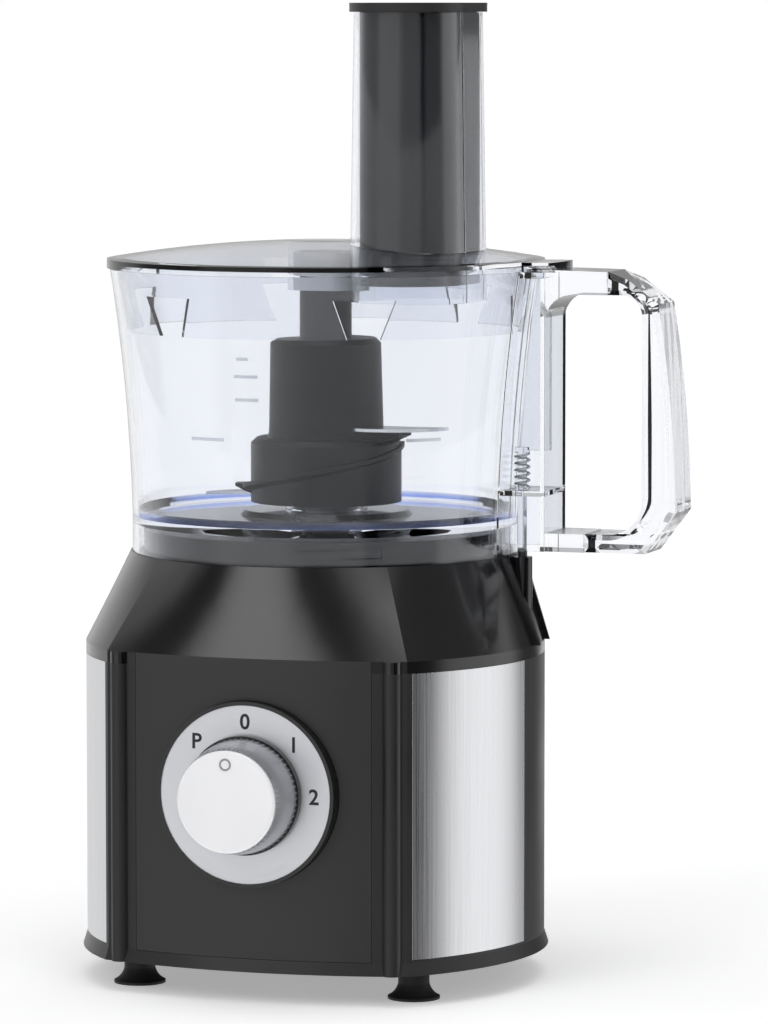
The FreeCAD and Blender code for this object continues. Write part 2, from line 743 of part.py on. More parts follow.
def knob():
    """Hollow knob, the dark ring at its root, its cap and the spindle it turns."""
    wall, front = "knob_wall", "(knob_depth - cap_depth)"
    keep(turned("KnobRoot", ring("knob_root", "knob_side - knob_wall", "0", "knob_root_depth"),
                y=KNOB_BACK, z="dial_height", turn=ALONG_FRONT), "knob_root_ring")
    shell = [("knob_side", "knob_root_depth"), via("knob_side - 0.5", "knob_depth * 0.55"),
             ("knob_face", front), ("spindle_radius", front), ("spindle_radius", "4"),
             ("spindle_radius + 3", "4"), ("spindle_radius + 3", f"{front} - {wall}"),
             (f"knob_face - {wall}", f"{front} - {wall}"),
             (f"knob_side - {wall}", "knob_root_depth")]
    keep(turned("KnobShell", shell, y=KNOB_BACK, z="dial_height", turn=ALONG_FRONT), "knob")
    face = [("0", front), ("knob_face", front), ("knob_face", "knob_depth - 0.7"),
            ("knob_face - 0.7", "knob_depth"), ("0", "knob_depth")]
    keep(turned("KnobCap", face, y=KNOB_BACK, z="dial_height", turn=ALONG_FRONT), "knob_cap")
    keep(rod("spindle_radius", f"{front} + spindle_back", "0", f"{KNOB_BACK} + spindle_back",
             "dial_height", ALONG_FRONT), "switch_spindle")


def rotary_switch():
    """Switch behind the front wall, with the bush that its spindle turns in."""
    case = box("-switch_half", f"-{FRONT_INSIDE} + {SWITCH_BOW} + fit_gap", "dial_height - switch_half + 1",
               "2 * switch_half", "switch_depth", "2 * switch_half - 2")
    neck = rod("neck_bush - fit_gap / 2", "6", "0", f"-{FRONT_INSIDE} + 1", "dial_height",
               ALONG_FRONT)
    bore = rod("spindle_radius + running_gap", "60", "0", "-front_reach + 40", "dial_height",
               ALONG_FRONT)
    return keep(cut(fuse(case, neck), bore), "rotary_switch")


def control_board():
    """Circuit board in the rails behind the motor, with its tall parts."""
    floor_top = "foot_height + floor_plate"
    board = box("-board_half + 0.2", "board_y + 0.1", floor_top, "2 * board_half - 0.4",
                "board_wall", "board_height")
    caps = [rod("5", "12", x, "board_y + board_wall + 12.1", f"{floor_top} + 34", ALONG_FRONT)
            for x in ("-12", "2")]
    relay = box("10", "board_y + board_wall + 0.1", f"{floor_top} + 26", "16", "10", "14")
    return keep(fuse(board, *caps, relay), "control_board")


def cord_gland():
    """Bush in the back wall where a supply cord would come out."""
    nose = rod("gland_radius", "gland_reach + shell_wall + 3", "0", "back_reach + gland_reach",
               "foot_height + gland_height", ALONG_FRONT)
    flange = rod("gland_radius + 2", "3", "0", "back_reach - shell_wall - 0.6",
                 "foot_height + gland_height", ALONG_FRONT)
    bore = rod("gland_radius - 2.5", "60", "0", "back_reach + 30", "foot_height + gland_height",
               ALONG_FRONT)
    return keep(cut(fuse(nose, flange), bore), "cord_gland")


# ---------------------------------------------------------------- motor
def mount_places():
    """Centres of the four rubber mounts."""
    return [(x, y) for x in ("-mount_x", "mount_x") for y in ("-mount_y", "mount_y")]


def sector(outer, inner, low, height, middle, half_angle):
    """Part of a ring about the drive axis, centred on an angle."""
    made = doc.addObject("Part::Cylinder", "Sector")
    bind(made, Radius=outer, Height=height)
    made.Angle = 2 * half_angle
    place(made, z=low)
    made.Placement.Rotation = FreeCAD.Rotation(FreeCAD.Vector(0, 0, 1), middle - half_angle)
    return cut(made, rod(inner, f"{height} + 2", "0", "0", f"{low} - 1"))


def winding(middle):
    """One field coil: a saddle round its pole."""
    outside = sector("slot_outer", "bore_radius + 2", f"{CORE_FOOT} - coil_height",
                     "core_stack + 2 * coil_height", middle, 60)
    window = sector("slot_outer + 2", "bore_radius + 1", CORE_FOOT, "core_stack", middle, 40)
    return cut(outside, window)


def stator():
    """Laminated core with two poles, its coils and the posts that tie it to the brackets."""
    core = box("-core_half_x", "-core_half_y", CORE_FOOT, "2 * core_half_x", "2 * core_half_y",
               "core_stack")
    slots = [sector("slot_outer", "bore_radius + 2", f"{CORE_FOOT} - 1", "core_stack + 2",
                    middle + side * 50, 10) for middle in (90, 270) for side in (-1, 1)]
    bore = rod("bore_radius", "core_stack + 2", "0", "0", f"{CORE_FOOT} - 1")
    keep(cut(core, bore, *slots), "stator_core")
    keep(gather(winding(90), winding(270)), "field_windings")


def armature():
    """Everything that turns with the motor shaft."""
    core_radius = "(bore_radius - air_gap)"
    core = rod(core_radius, "core_stack", "0", "0", CORE_FOOT)
    slots = [spun(box(f"{core_radius} - core_slot_depth", "-core_slot_half", f"{CORE_FOOT} - 1",
                      "core_slot_depth + 1", "2 * core_slot_half", "core_stack + 2"), turn)
             for turn in range(0, 360, 30)]
    keep(cut(core, rod("shaft_radius", "core_stack", "0", "0", CORE_FOOT), *slots),
         "armature_core")
    ends = [turned("EndTurn" + word,
                   ring(f"{core_radius} - 2", "shaft_radius + 4", "0", "coil_height - 1"),
                   z=low)
            for word, low in (("Top", CORE_TOP), ("Foot", f"{CORE_FOOT} - coil_height + 1"))]
    keep(gather(*ends), "armature_windings")
    commutator_foot = f"({CORE_FOOT} - coil_height - commutator_height)"
    keep(tube("commutator_radius", "shaft_radius", "commutator_height", z=commutator_foot),
         "commutator")
    keep(rod("shaft_radius", f"{COUPLER_ROOT} + 12 - {LOWER_BEARING} + 2", "0", "0",
             f"{LOWER_BEARING} - 2"), "motor_shaft")


def brushes():
    """Two carbon brushes in their holders on the lower bracket."""
    height = f"({CORE_FOOT} - coil_height - commutator_height / 2)"
    carbons, holders = [], []
    for side in (1, -1):
        start = "commutator_radius + 0.2" if side > 0 else "-commutator_radius - 0.2 - 14"
        carbons.append(box(start, "-3", f"{height} - 4", "14", "6", "8"))
        start = "commutator_radius + 3" if side > 0 else "-commutator_radius - 3 - 18"
        sleeve = box(start, "-5", f"{height} - 6", "18", "10", "12")
        bore = box(start, "-3", f"{height} - 4", "18", "6", "8")
        foot = box(start, "-5", f"{LOWER_BEARING} + bearing_height - 2", "18", "10",
                   f"{height} - 6 - {LOWER_BEARING} - bearing_height + 2")
        holders.append(cut(fuse(sleeve, foot), bore))
    keep(gather(*carbons), "carbon_brushes")
    keep(gather(*holders), "brush_holders")


def brackets():
    """Lower and upper bracket, each with a bearing, tied by four pillars to the core."""
    lower = f"({LOWER_BEARING} + bearing_height - 2 - bracket_wall)"
    seat = rod("bearing_radius", "bearing_height + 4", "0", "0", f"{LOWER_BEARING} - 2")
    plate = box("-core_half_x", "-12", lower, "2 * core_half_x", "24", "bracket_wall")
    barrel = rod("bearing_radius + 3", "bearing_height", "0", "0", LOWER_BEARING)
    pillars = [box(x, "-6", lower, "6", "12", f"{CORE_FOOT} - {lower}")
               for x in ("-core_half_x", "core_half_x - 6")]
    keep(cut(fuse(plate, barrel, *pillars), seat), "lower_bracket")
    keep(tube("bearing_radius", "shaft_radius + running_gap", "bearing_height", z=LOWER_BEARING),
         "lower_bearing")
    upper = box("-core_half_x", "-core_half_y", BRACKET, "2 * core_half_x", "2 * core_half_y",
                "bracket_wall")
    barrel = rod("bearing_radius + 3", "bearing_height", "0", "0", f"{BRACKET} - 4")
    pillars = [box(x, y, CORE_TOP, "4", "10", "core_drop")
               for x in ("-core_half_x", "core_half_x - 4")
               for y in ("-core_half_y", "core_half_y - 10")]
    seat = rod("bearing_radius", "bearing_height + 4", "0", "0", f"{BRACKET} - 6")
    holes = [rod("screw_radius + fit_gap", "bracket_wall + 2", x, y, f"{BRACKET} - 1")
             for x, y in mount_places()]
    keep(cut(fuse(upper, barrel, *pillars), seat, *holes), "upper_bracket")
    keep(tube("bearing_radius", "shaft_radius + running_gap", "bearing_height",
              z=f"{BRACKET} - 4"), "upper_bearing")


def motor_mounts():
    """Rubber bushes between the motor and the top cover, and the screws through them."""
    bushes = [tube("mount_radius", "screw_radius + fit_gap", "mount_height", x, y, MOUNT_FOOT)
              for x, y in mount_places()]
    keep(gather(*bushes), "motor_mounts")
    screws = [screw(x, y, f"({BRACKET} - 1.5)", "(bracket_wall + mount_height + 5)")
              for x, y in mount_places()]
    keep(gather(*screws), "mount_screws")


def fan():
    """Cooling fan between the windings and the upper bracket."""
    foot = f"({CORE_TOP} + coil_height + 2)"
    hub = rod("shaft_radius + 4", "fan_height", "0", "0", foot)
    disc = rod("fan_radius", "1.6", "0", "0", foot)
    vanes = []
    for turn in range(0, 360, 40):
        vane = box("shaft_radius + 2", "-0.8", foot, "fan_radius - shaft_radius - 2", "1.6",
                   "fan_height")
        vanes.append(spun(vane, turn))
    bore = rod("shaft_radius", "fan_height + 2", "0", "0", f"{foot} - 1")
    return keep(cut(fuse(hub, disc, *vanes), bore), "cooling_fan")


def spun(obj, degrees):
    """An object turned about the drive axis."""
    holder = gather(obj)
    holder.Placement.Rotation = FreeCAD.Rotation(FreeCAD.Vector(0, 0, 1), degrees)
    return holder


def drive_coupler():
    """Splined coupler on the shaft, and the seal that it turns in."""
    post = rod("coupler_radius", f"{COUPLER_TOP} - {COUPLER_ROOT}", "0", "0", COUPLER_ROOT)
    flange = rod("coupler_flange", "3", "0", "0", f"{COUPLER_ROOT} + 2")
    splines = [spun(box("coupler_radius - 1", "-spline_wall / 2", f"{BOSS} + 5",
                        "spline_radius - coupler_radius + 1", "spline_wall",
                        "coupler_rise - 5"), turn) for turn in (0, 120, 240)]
    bore = rod("shaft_radius", "12", "0", "0", COUPLER_ROOT)
    keep(cut(fuse(post, flange, *splines), bore), "drive_coupler")
    keep(tube("seal_radius", "coupler_radius + running_gap", "cover_wall",
              z=f"{BOSS} - cover_wall"), "shaft_seal")


# ---------------------------------------------------------------- interlock in the stand
def coil(height, turns, z):
    """Coil spring about the interlock axis."""
    wire = size("spring_wire")
    radius = size("spring_radius")
    rise = size(height) - wire
    helix = Part.makeHelix(rise / size(turns), rise, radius)
    start = FreeCAD.Vector(radius, 0, 0)
    section = Part.Wire(Part.makeCircle(wire / 2, start, FreeCAD.Vector(0, 1, 0)))
    spring = Part.Wire(helix.Edges).makePipeShell([section], True, True)
    spring = Part.Solid(spring) if spring.ShapeType == "Shell" else spring
    feature = shaped(spring, "Coil")
    return place(feature, "interlock_radius", "0", f"{z} + spring_wire / 2")


def interlock():
    """Plunger under the handle column, its spring and the switch that it works."""
    pin = rod("plunger_radius", f"{PLUNGER_TOP} - {COLLAR_FOOT}", "interlock_radius", "0",
              COLLAR_FOOT)
    collar = rod("rod_collar", "2", "interlock_radius", "0", COLLAR_FOOT)
    keep(fuse(pin, collar), "interlock_plunger")
    spring_foot = f"({COLLAR_FOOT} - interlock_spring)"
    keep(coil("interlock_spring", "spring_turns", spring_foot), "plunger_spring")
    keep(box("interlock_radius - 13", "-9", f"{spring_foot} - 14", "15", "18", "14"),
         "interlock_switch")


# ---------------------------------------------------------------- bowl
def cup_side(inward):
    """Corners of the bowl's side, moved inward by an expression: foot, waist, rim."""
    return [(f"cup_foot_radius - {inward}", f"{CUP_FOOT} + 14"),
            via(f"cup_waist_radius - {inward}", CUP_WAIST_Z),
            (f"cup_rim_radius - {inward}", CUP_RIM)]


def filled_cup(name):
    """The bowl's outer shape without its hollow."""
    outline = [("0", CUP_FOOT), ("cup_foot_radius", CUP_FOOT)] + cup_side("0") + [("0", CUP_RIM)]
    return turned(name, outline)


def cup_shell():
    """Bowl wall, floor with a step, skirt and the centre chimney."""
    inner = list(reversed(cup_side("cup_wall")))
    outline = (
        [("cup_foot_radius - cup_wall", CUP_FOOT), ("cup_foot_radius", CUP_FOOT)]
        + cup_side("0") + inner
        + [("cup_foot_radius - cup_wall", f"{CUP_INSIDE} + 3"),
           ("cup_foot_radius - cup_wall - 3", CUP_INSIDE),
           ("step_radius", CUP_INSIDE), ("step_radius - 2", f"{CUP_INSIDE} + step_rise"),
           ("chimney_radius", f"{CUP_INSIDE} + step_rise"),
           ("chimney_radius", f"{CUP_INSIDE} + chimney_rise"),
           ("chimney_radius - chimney_wall", f"{CUP_INSIDE} + chimney_rise"),
           ("chimney_radius - chimney_wall", CUP_FLOOR),
           ("cup_foot_radius - cup_wall", CUP_FLOOR)])
    return turned("CupShell", outline)


def handle_column():
    """Hollow column on the bowl's wall that holds the interlock rod."""
    height = f"{CUP_RIM} - {COLUMN_FOOT}"
    outer = box("cup_foot_radius - 8", "-column_half", COLUMN_FOOT,
                f"{COLUMN_REACH} - cup_foot_radius + 8", "2 * column_half", height)
    hollow = box("cup_foot_radius - 10", "-column_half + column_wall", f"{COLUMN_FOOT} - 1",
                 f"{COLUMN_REACH} - column_wall - cup_foot_radius + 10",
                 "2 * (column_half - column_wall)", f"{height} - cap_wall + 1")
    rod_slot = box(f"{ROD_TOP_INNER} - rod_slot_inner_gap", "-rod_half - rod_slot_gap",
                   f"{CUP_RIM} - cap_wall - 1",
                   f"{ROD_OUTER} - {ROD_TOP_INNER} + rod_slot_inner_gap + rod_slot_gap",
                   "2 * (rod_half + rod_slot_gap)", "cap_wall + 2")
    guide = box("cup_foot_radius - 8", "-column_half + 1", GUIDE_FOOT,
                f"{COLUMN_REACH} - cup_foot_radius + 7", "2 * column_half - 2", "2")
    guide_hole = rod("plunger_radius + running_gap", "4", "interlock_radius", "0",
                     f"{GUIDE_FOOT} - 1")
    return cut(fuse(cut(outer, hollow, rod_slot), guide), guide_hole)


def upper_arm_outline(reach):
    """Side view of the upper arm from the column out to a seam."""
    foot = f"{CUP_RIM} + 1 - arm_thick"
    return [(f"{COLUMN_REACH} - 1", f"{foot} - arch_drop"), (COLUMN_REACH, f"{foot} - arch_drop"),
            via(f"{COLUMN_REACH} + arch_run * 0.3", f"{foot} - arch_drop * 0.3"),
            (f"{COLUMN_REACH} + arch_run", foot), (reach, foot),
            (reach, f"{CUP_RIM} + 0.6"), (f"{COLUMN_REACH} + 4", f"{CUP_RIM} + 1"),
            (f"{COLUMN_REACH} + 4", CUP_RIM), (f"{COLUMN_REACH} - 1", CUP_RIM)]


def bowl():
    """Clear bowl: shell, handle column, both handle stubs and bayonet lugs."""
    upper = padded("UpperArm", upper_arm_outline(SEAM_REACH), "2 * handle_half",
                   plane="XZ_Plane", both_ways=True)
    lower = box(f"{COLUMN_REACH} - 1", "-handle_half", COLUMN_FOOT,
                f"{LOWER_SEAM_REACH} - {COLUMN_REACH} + 1", "2 * handle_half", "lower_arm_thick")
    outside = fuse(handle_column(), upper, lower)
    trimmed = cut(outside, filled_cup("CupBlank"))
    inward = lugs("cup_foot_radius - cup_wall", -1, "lug_angle + 2")
    return keep(fuse(cup_shell(), trimmed, *inward), "bowl")


def handle_grip():
    """C-shaped outer part of the handle, bonded to the two stubs."""
    arm_foot = f"{CUP_RIM} + 1 - arm_thick"
    arm_top = f"{CUP_RIM} + 0.6"
    foot_top = f"{COLUMN_FOOT} + lower_arm_thick"
    outline = [
        (SEAM_REACH, arm_top), (f"{SEAM_REACH} + 8", f"{arm_top} - 3"),
        (GRIP_TOP_REACH, f"{arm_top} - 12"),
        via(f"({GRIP_TOP_REACH} + {GRIP_FOOT_REACH}) / 2 + 1.6", f"{COLUMN_FOOT} + cup_height / 2"),
        (GRIP_FOOT_REACH, f"{COLUMN_FOOT} + 16"),
        (f"{GRIP_FOOT_REACH} - 12", COLUMN_FOOT), (LOWER_SEAM_REACH, COLUMN_FOOT),
        (LOWER_SEAM_REACH, foot_top), (f"{GAP_REACH} - 13", foot_top),
        via(f"{GAP_REACH} - 13 * {QUARTER}", f"{foot_top} + 13 * {QUARTER}"),
        (GAP_REACH, f"{foot_top} + 13"), (GAP_REACH, f"{arm_foot} - 8"),
        via(f"{GAP_REACH} - 8 * {QUARTER}", f"{arm_foot} - 8 * {QUARTER}"),
        (f"{GAP_REACH} - 8", arm_foot), (SEAM_REACH, arm_foot),
    ]
    body = padded("HandleGrip", outline, "2 * handle_half", plane="XZ_Plane", both_ways=True)
    return keep(bevelled(body, "bevel"), "handle_grip")


def bowl_bush():
    """Wear ring between the boss and the bowl's floor."""
    return keep(tube("bush_outer", "bush_inner", "bush_height", z=f"{BOSS} + fit_gap"),
                "bowl_bush")


def interlock_rod():
    """Rod that the lid presses down the handle column, and its return spring."""
    top = f"({LID_FOOT} - fit_gap * 1.5)"
    foot = f"({COLUMN_FOOT} + rod_foot_height)"
    outline = [("rod_inner", foot), (ROD_OUTER, foot), (ROD_OUTER, top),
               (ROD_TOP_INNER, top)]
    plate = padded("RodPlate", outline, "2 * rod_half", plane="XZ_Plane", both_ways=True)
    pin = rod("plunger_radius", "rod_foot_height + 1", "interlock_radius", "0", COLUMN_FOOT)
    collar = rod("rod_collar", "2", "interlock_radius", "0", f"{foot} - 1")
    keep(fuse(plate, pin, collar), "interlock_rod")
    keep(coil("rod_spring_height - 1", "spring_turns", f"({GUIDE_FOOT} + 2)"), "rod_spring")


# ---------------------------------------------------------------- blade
def blade(name, height, turn):
    """One curved blade, its root set in the hub."""
    outline = [("13.5", "-9"), via("blade_reach * 0.78", "-7"), ("blade_reach", "blade_reach * 0.28"),
               via("blade_reach * 0.66", "7.5"), ("13.5", "8")]
    made = padded(name, outline, "blade_wall")
    made.Placement = FreeCAD.Placement(FreeCAD.Vector(),
                                       FreeCAD.Rotation(FreeCAD.Vector(0, 0, 1), turn))
    return place(made, z=height)


def blade_set():
    """Spindle adapter, hub and two blades, which turn as one."""
    socket = "(coupler_radius + socket_gap)"
    adapter = turned("Adapter", [
        (socket, f"{HUB_FOOT} - 3"), ("adapter_radius", f"{HUB_FOOT} - 3"),
        ("adapter_radius", SLEEVE_FOOT), ("stem_top_radius", SLEEVE_FOOT),
        ("stem_top_radius", f"{STEM_TOP} - 2"), ("stem_top_radius - 2", STEM_TOP),
        ("0", STEM_TOP), ("0", f"{COUPLER_TOP} + 1"), (socket, f"{COUPLER_TOP} + 1")])
    grooves = [spun(box("coupler_radius - 1", "-spline_wall / 2 - socket_gap", f"{HUB_FOOT} - 4",
                        "spline_radius - coupler_radius + 1 + socket_gap",
                        "spline_wall + 2 * socket_gap", f"{COUPLER_TOP} + 5 - {HUB_FOOT}"), turn)
               for turn in (0, 120, 240)]
    keep(cut(adapter, *grooves), "spindle_adapter")
    cavity = "(chimney_radius + 1.3)"
    hub = turned("Hub", [
        (cavity, HUB_FOOT), ("hub_radius", HUB_FOOT), ("hub_radius", f"{SLEEVE_FOOT} - 2"),
        ("hub_radius - 2", SLEEVE_FOOT), ("sleeve_radius + 0.6", SLEEVE_FOOT),
        ("sleeve_radius", f"{SLEEVE_FOOT} + 2"), ("sleeve_top_radius", SLEEVE_TOP_LOW),
        ("sleeve_top_radius - 2", SLEEVE_TOP), ("stem_top_radius + 0.05", SLEEVE_TOP),
        ("stem_top_radius + 0.05", SLEEVE_FOOT),
        ("adapter_radius + 0.05", SLEEVE_FOOT),
        ("adapter_radius + 0.05", CAVITY_TOP), (cavity, CAVITY_TOP)])
    upper = blade("UpperBlade", f"{HUB_FOOT} + 1.2 + blade_step", -14)
    lower = blade("LowerBlade", f"{HUB_FOOT} + 1.2", 166)
    keep(cut(hub, upper, lower), "blade_hub")
    keep(upper, "upper_blade")
    keep(cut(lower, rod("chimney_radius + 1.3", "10", "0", "0", f"{HUB_FOOT} - 3")), "lower_blade")


# ---------------------------------------------------------------- lid
def stadium(radius, height):
    """Closed wire of the feed tube's section at a height."""
    half, middle = size("tube_half"), size("tube_x")
    ends = [FreeCAD.Vector(middle + x, y, height)
            for x, y in ((radius, -half), (radius, half), (-radius, half), (-radius, -half))]
    caps = [FreeCAD.Vector(middle, half + radius, height),
            FreeCAD.Vector(middle, -half - radius, height)]
    edges = [Part.LineSegment(ends[0], ends[1]), Part.Arc(ends[1], caps[0], ends[2]),
             Part.LineSegment(ends[2], ends[3]), Part.Arc(ends[3], caps[1], ends[0])]
    return Part.Wire([edge.toShape() for edge in edges])


def stadium_solid(low_radius, high_radius, low, high):
    """Solid between two stadium sections."""
    lower = stadium(size(low_radius), size(low))
    upper = stadium(size(high_radius), size(high))
    return shaped(Part.makeLoft([lower, upper], True, True), "Stadium")


def lid_shell():
    """Domed lid with its rim, inner skirt and centre socket."""
    skirt_top = "(cup_rim_radius - cup_wall - skirt_gap)"
    skirt_foot = "(cup_rim_radius - cup_wall - skirt_gap - skirt_drop * 0.17)"
    skirt_z = f"({LID_FOOT} - skirt_drop)"
    outline = [
        ("socket_radius - 2", f"{LID_FOOT} - socket_drop"),
        ("socket_radius", f"{LID_FOOT} - socket_drop"),
        ("socket_radius", f"{DOME} - lid_wall - 0.2"), DOMED,
        (f"{skirt_top} - skirt_wall", f"{LID_RIM} - lid_wall"),
        (f"{skirt_foot} - skirt_wall", skirt_z), (skirt_foot, skirt_z),
        (skirt_top, LID_FOOT), (LID_RADIUS, LID_FOOT), (LID_RADIUS, LID_RIM), DOMED,
        ("0", DOME), ("0", f"{DOME} - lid_wall"),
        ("socket_radius - 2", f"{DOME} - lid_wall")]
    return turned("LidShell", outline)


def skirt_notches():
    """Tapered notches round the lid's inner skirt."""
    outline = [("notch_foot / 2", f"{LID_FOOT} - skirt_drop - 1"),
               ("notch_width / 2", f"{LID_FOOT} - skirt_drop + notch_drop"),
               ("-notch_width / 2", f"{LID_FOOT} - skirt_drop + notch_drop"),
               ("-notch_foot / 2", f"{LID_FOOT} - skirt_drop - 1")]
    notches = []
    for index in range(6):
        notch = padded(f"Notch{index}", outline, LID_RADIUS, plane="XZ_Plane")
        notches.append(spun(notch, 30 + 60 * index))
    return notches


def lid_tab():
    """Tab over the handle column, with a ramp under it that lets the rod rise."""
    tab = sector(TAB_REACH, f"{LID_RADIUS} - 2", LID_FOOT, "lid_rim", 0, 9.5)
    outline = [("0", LID_FOOT), ("-ramp_run", f"{LID_FOOT} + ramp_rise"),
               ("-ramp_run", f"{LID_FOOT} - 1"), ("0", f"{LID_FOOT} - 1")]
    ramp = padded("Ramp", outline, TAB_REACH, z=f"{ROD_TOP_INNER} - 4", plane="YZ_Plane")
    inside = rod(f"{ROD_TOP_INNER} - 0.5", "ramp_rise + 3", "0", "0", f"{LID_FOOT} - 2")
    return cut(tab, cut(ramp, inside))


def lid():
    """Clear lid with its feed tube."""
    outer = stadium_solid("tube_radius", "tube_top_radius", f"{LID_FOOT} - 1", TUBE_TOP)
    lip = stadium_solid("tube_radius", "tube_radius", TUBE_FOOT, f"{LID_FOOT} - 1")
    bore = stadium_solid("tube_radius - tube_wall", "tube_top_radius - tube_wall",
                         f"{TUBE_FOOT} - 1", f"{TUBE_TOP} + 1")
    shell = cut(lid_shell(), *skirt_notches())
    return keep(cut(fuse(shell, lid_tab(), outer, lip), bore), "lid")


def lid_bush():
    """Bearing ring in the lid's centre for the top of the spindle."""
    inner = "(stem_top_radius + 0.3)"
    return keep(tube("socket_radius - 2 - fit_gap / 2", inner, "socket_drop + 2",
                     z=f"{LID_FOOT} - socket_drop"), "lid_bush")


def pusher():
    """Hollow pusher, open at the top, with a flange that rests on the feed tube."""
    foot = f"({TUBE_TOP} + fit_gap - pusher_length)"
    flange_z = f"({TUBE_TOP} + fit_gap)"
    body = stadium_solid("pusher_radius", "pusher_radius", foot, flange_z)
    flange = stadium_solid("flange_radius", "flange_radius", flange_z, f"{flange_z} + flange_wall")
    hollow = stadium_solid("pusher_radius - pusher_wall", "pusher_radius - pusher_wall",
                           f"{foot} + pusher_wall", f"{flange_z} + flange_wall + 1")
    return keep(cut(fuse(body, flange), hollow), "pusher")


# ---------------------------------------------------------------- assembly
def build():
    """Make every sub-part."""
    main_housing()
    front_panel()
    steel_panels()
    top_cover()
    bottom_cover()
    feet()
    cover_screws()
    dial()
    knob()
    rotary_switch()
    control_board()
    cord_gland()
    stator()
    armature()
    brushes()
    brackets()
    motor_mounts()
    fan()
    drive_coupler()
    interlock()
    bowl()
    handle_grip()
    bowl_bush()
    interlock_rod()
    blade_set()
    lid()
    lid_bush()
    pusher()


def check():
    """Stop if anything in the document failed."""
    doc.recompute()
    for obj in doc.Objects:
        if {"Invalid", "Error"} & set(obj.State):
            raise RuntimeError(f"{obj.Name} ({obj.Label}) failed: {obj.State}")
    for obj in SUBPARTS:
        if obj.Shape.isNull() or not obj.Shape.isValid() or not obj.Shape.Solids:
            raise RuntimeError(f"{obj.Label} has no valid solid")


def export():
    """Write each sub-part to parts/NODE.step."""
    os.makedirs("parts", exist_ok=True)
    for obj in SUBPARTS:
        obj.Shape.exportStep(f"parts/{obj.Label}.step")
        low, high = obj.Shape.BoundBox.ZMin, obj.Shape.BoundBox.ZMax
        print(f"{obj.Label:22s} {len(obj.Shape.Solids)} solid(s) z {low:.1f} to {high:.1f}")


build()
check()
export()
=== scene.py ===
# %% [markdown]
# # A food processor in clear plastic, black plastic and brushed steel
#
# The machine's working shape is already there: a packed design with one mesh for every part that
# comes off on a bench. This lesson dresses it. Each step says what a piece or a finish is on the
# real machine, how it could be made in Blender, and why one way was taken.
#
# The design is loaded first, as a fixed frame. Its parts are never moved, so every place that is
# needed later is asked from it.

# %% Load the machine as a fixed frame
import math

import bmesh
import bpy
from mathutils import Matrix, Vector
from mathutils.bvhtree import BVHTree


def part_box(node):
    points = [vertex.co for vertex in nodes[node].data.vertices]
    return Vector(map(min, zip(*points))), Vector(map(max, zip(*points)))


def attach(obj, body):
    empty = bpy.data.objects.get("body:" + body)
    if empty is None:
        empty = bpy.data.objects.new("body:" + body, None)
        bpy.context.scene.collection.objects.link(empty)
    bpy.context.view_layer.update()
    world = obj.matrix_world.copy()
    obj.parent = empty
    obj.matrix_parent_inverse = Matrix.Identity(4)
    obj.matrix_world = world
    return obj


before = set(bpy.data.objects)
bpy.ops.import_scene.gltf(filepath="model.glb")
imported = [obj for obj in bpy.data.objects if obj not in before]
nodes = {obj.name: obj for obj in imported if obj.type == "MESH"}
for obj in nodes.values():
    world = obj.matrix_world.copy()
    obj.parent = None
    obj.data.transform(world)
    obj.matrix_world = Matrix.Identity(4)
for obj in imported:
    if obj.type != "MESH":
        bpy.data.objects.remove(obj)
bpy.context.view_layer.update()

MM = 0.001

# %% [markdown]
# ## The camera
#
# A catalogue picture is taken from far away with a long lens, so that upright edges stay upright.
# The camera stands a little to the right of the front and just above the lid. A lens shift could
# keep the edges perfectly parallel, but from this distance a tilt of five degrees does the same,
# and a camera without shift can be walked round the machine without surprises.

# %% Place the camera
VIEW_TURN = math.radians(19.4)
CAMERA_AWAY = 2.23
CAMERA_HEIGHT = 0.381
AIM_RIGHT = 0.0226
AIM_HEIGHT = 0.1794
LENS = 201.0

right_hand = Vector((math.cos(VIEW_TURN), math.sin(VIEW_TURN), 0))
towards_camera = Vector((math.sin(VIEW_TURN), -math.cos(VIEW_TURN), 0))


def place_camera():
    """A long lens, level with the lid, aimed a little right of the drive axis."""
    camera = bpy.data.objects.new("camera", bpy.data.cameras.new("camera"))
    bpy.context.scene.collection.objects.link(camera)
    camera.location = towards_camera * CAMERA_AWAY + Vector((0, 0, CAMERA_HEIGHT))
    aim = right_hand * AIM_RIGHT + Vector((0, 0, AIM_HEIGHT))
    camera.rotation_euler = (aim - camera.location).to_track_quat("-Z", "Y").to_euler()
    camera.data.lens = LENS
    camera.data.clip_end = 200
    bpy.context.scene.camera = camera
    return camera


camera = place_camera()
print("camera at", [round(v, 3) for v in camera.location])

# %% [markdown]
# ## Nodes, written as sentences
#
# Materials, light and repeated shapes are all node trees. Linking nodes by hand takes many lines,
# so two helpers do it: one sets or links a single socket, and one adds a node with its inputs.

# %% Helpers for node trees
def give(tree, socket, value):
    """Feeds a socket from another node's output, or sets it to a plain value."""
    if isinstance(value, bpy.types.NodeSocket):
        tree.links.new(value, socket)
    else:
        socket.default_value = value


def add(tree, kind, inputs=None, **settings):
    """A new node with its settings and its inputs, which are named or numbered."""
    node = tree.nodes.new(kind)
    for name, value in settings.items():
        setattr(node, name, value)
    for label, value in (inputs or {}).items():
        give(tree, node.inputs[label], value)
    return node


print("helpers ready")

# %% [markdown]
# ## The studio
#
# Shiny things show what stands round them, so the light is designed as a dome. It is white, which
# lights the pale floor evenly, with a few soft patches. Bright ones are softboxes: they make the
# broad sheen on the black shoulder and the bright band down the steel. Dark ones are flags: they
# put the dark edges on the steel and draw the outline of the clear bowl, which would vanish in an
# all-white room. Lamps could do the same, but they would light the near floor more than the far
# floor, and the backdrop would no longer be even. Reflections look past the floor into the lower
# half of the dome, so that a flag reaches down the whole height of a steel panel.

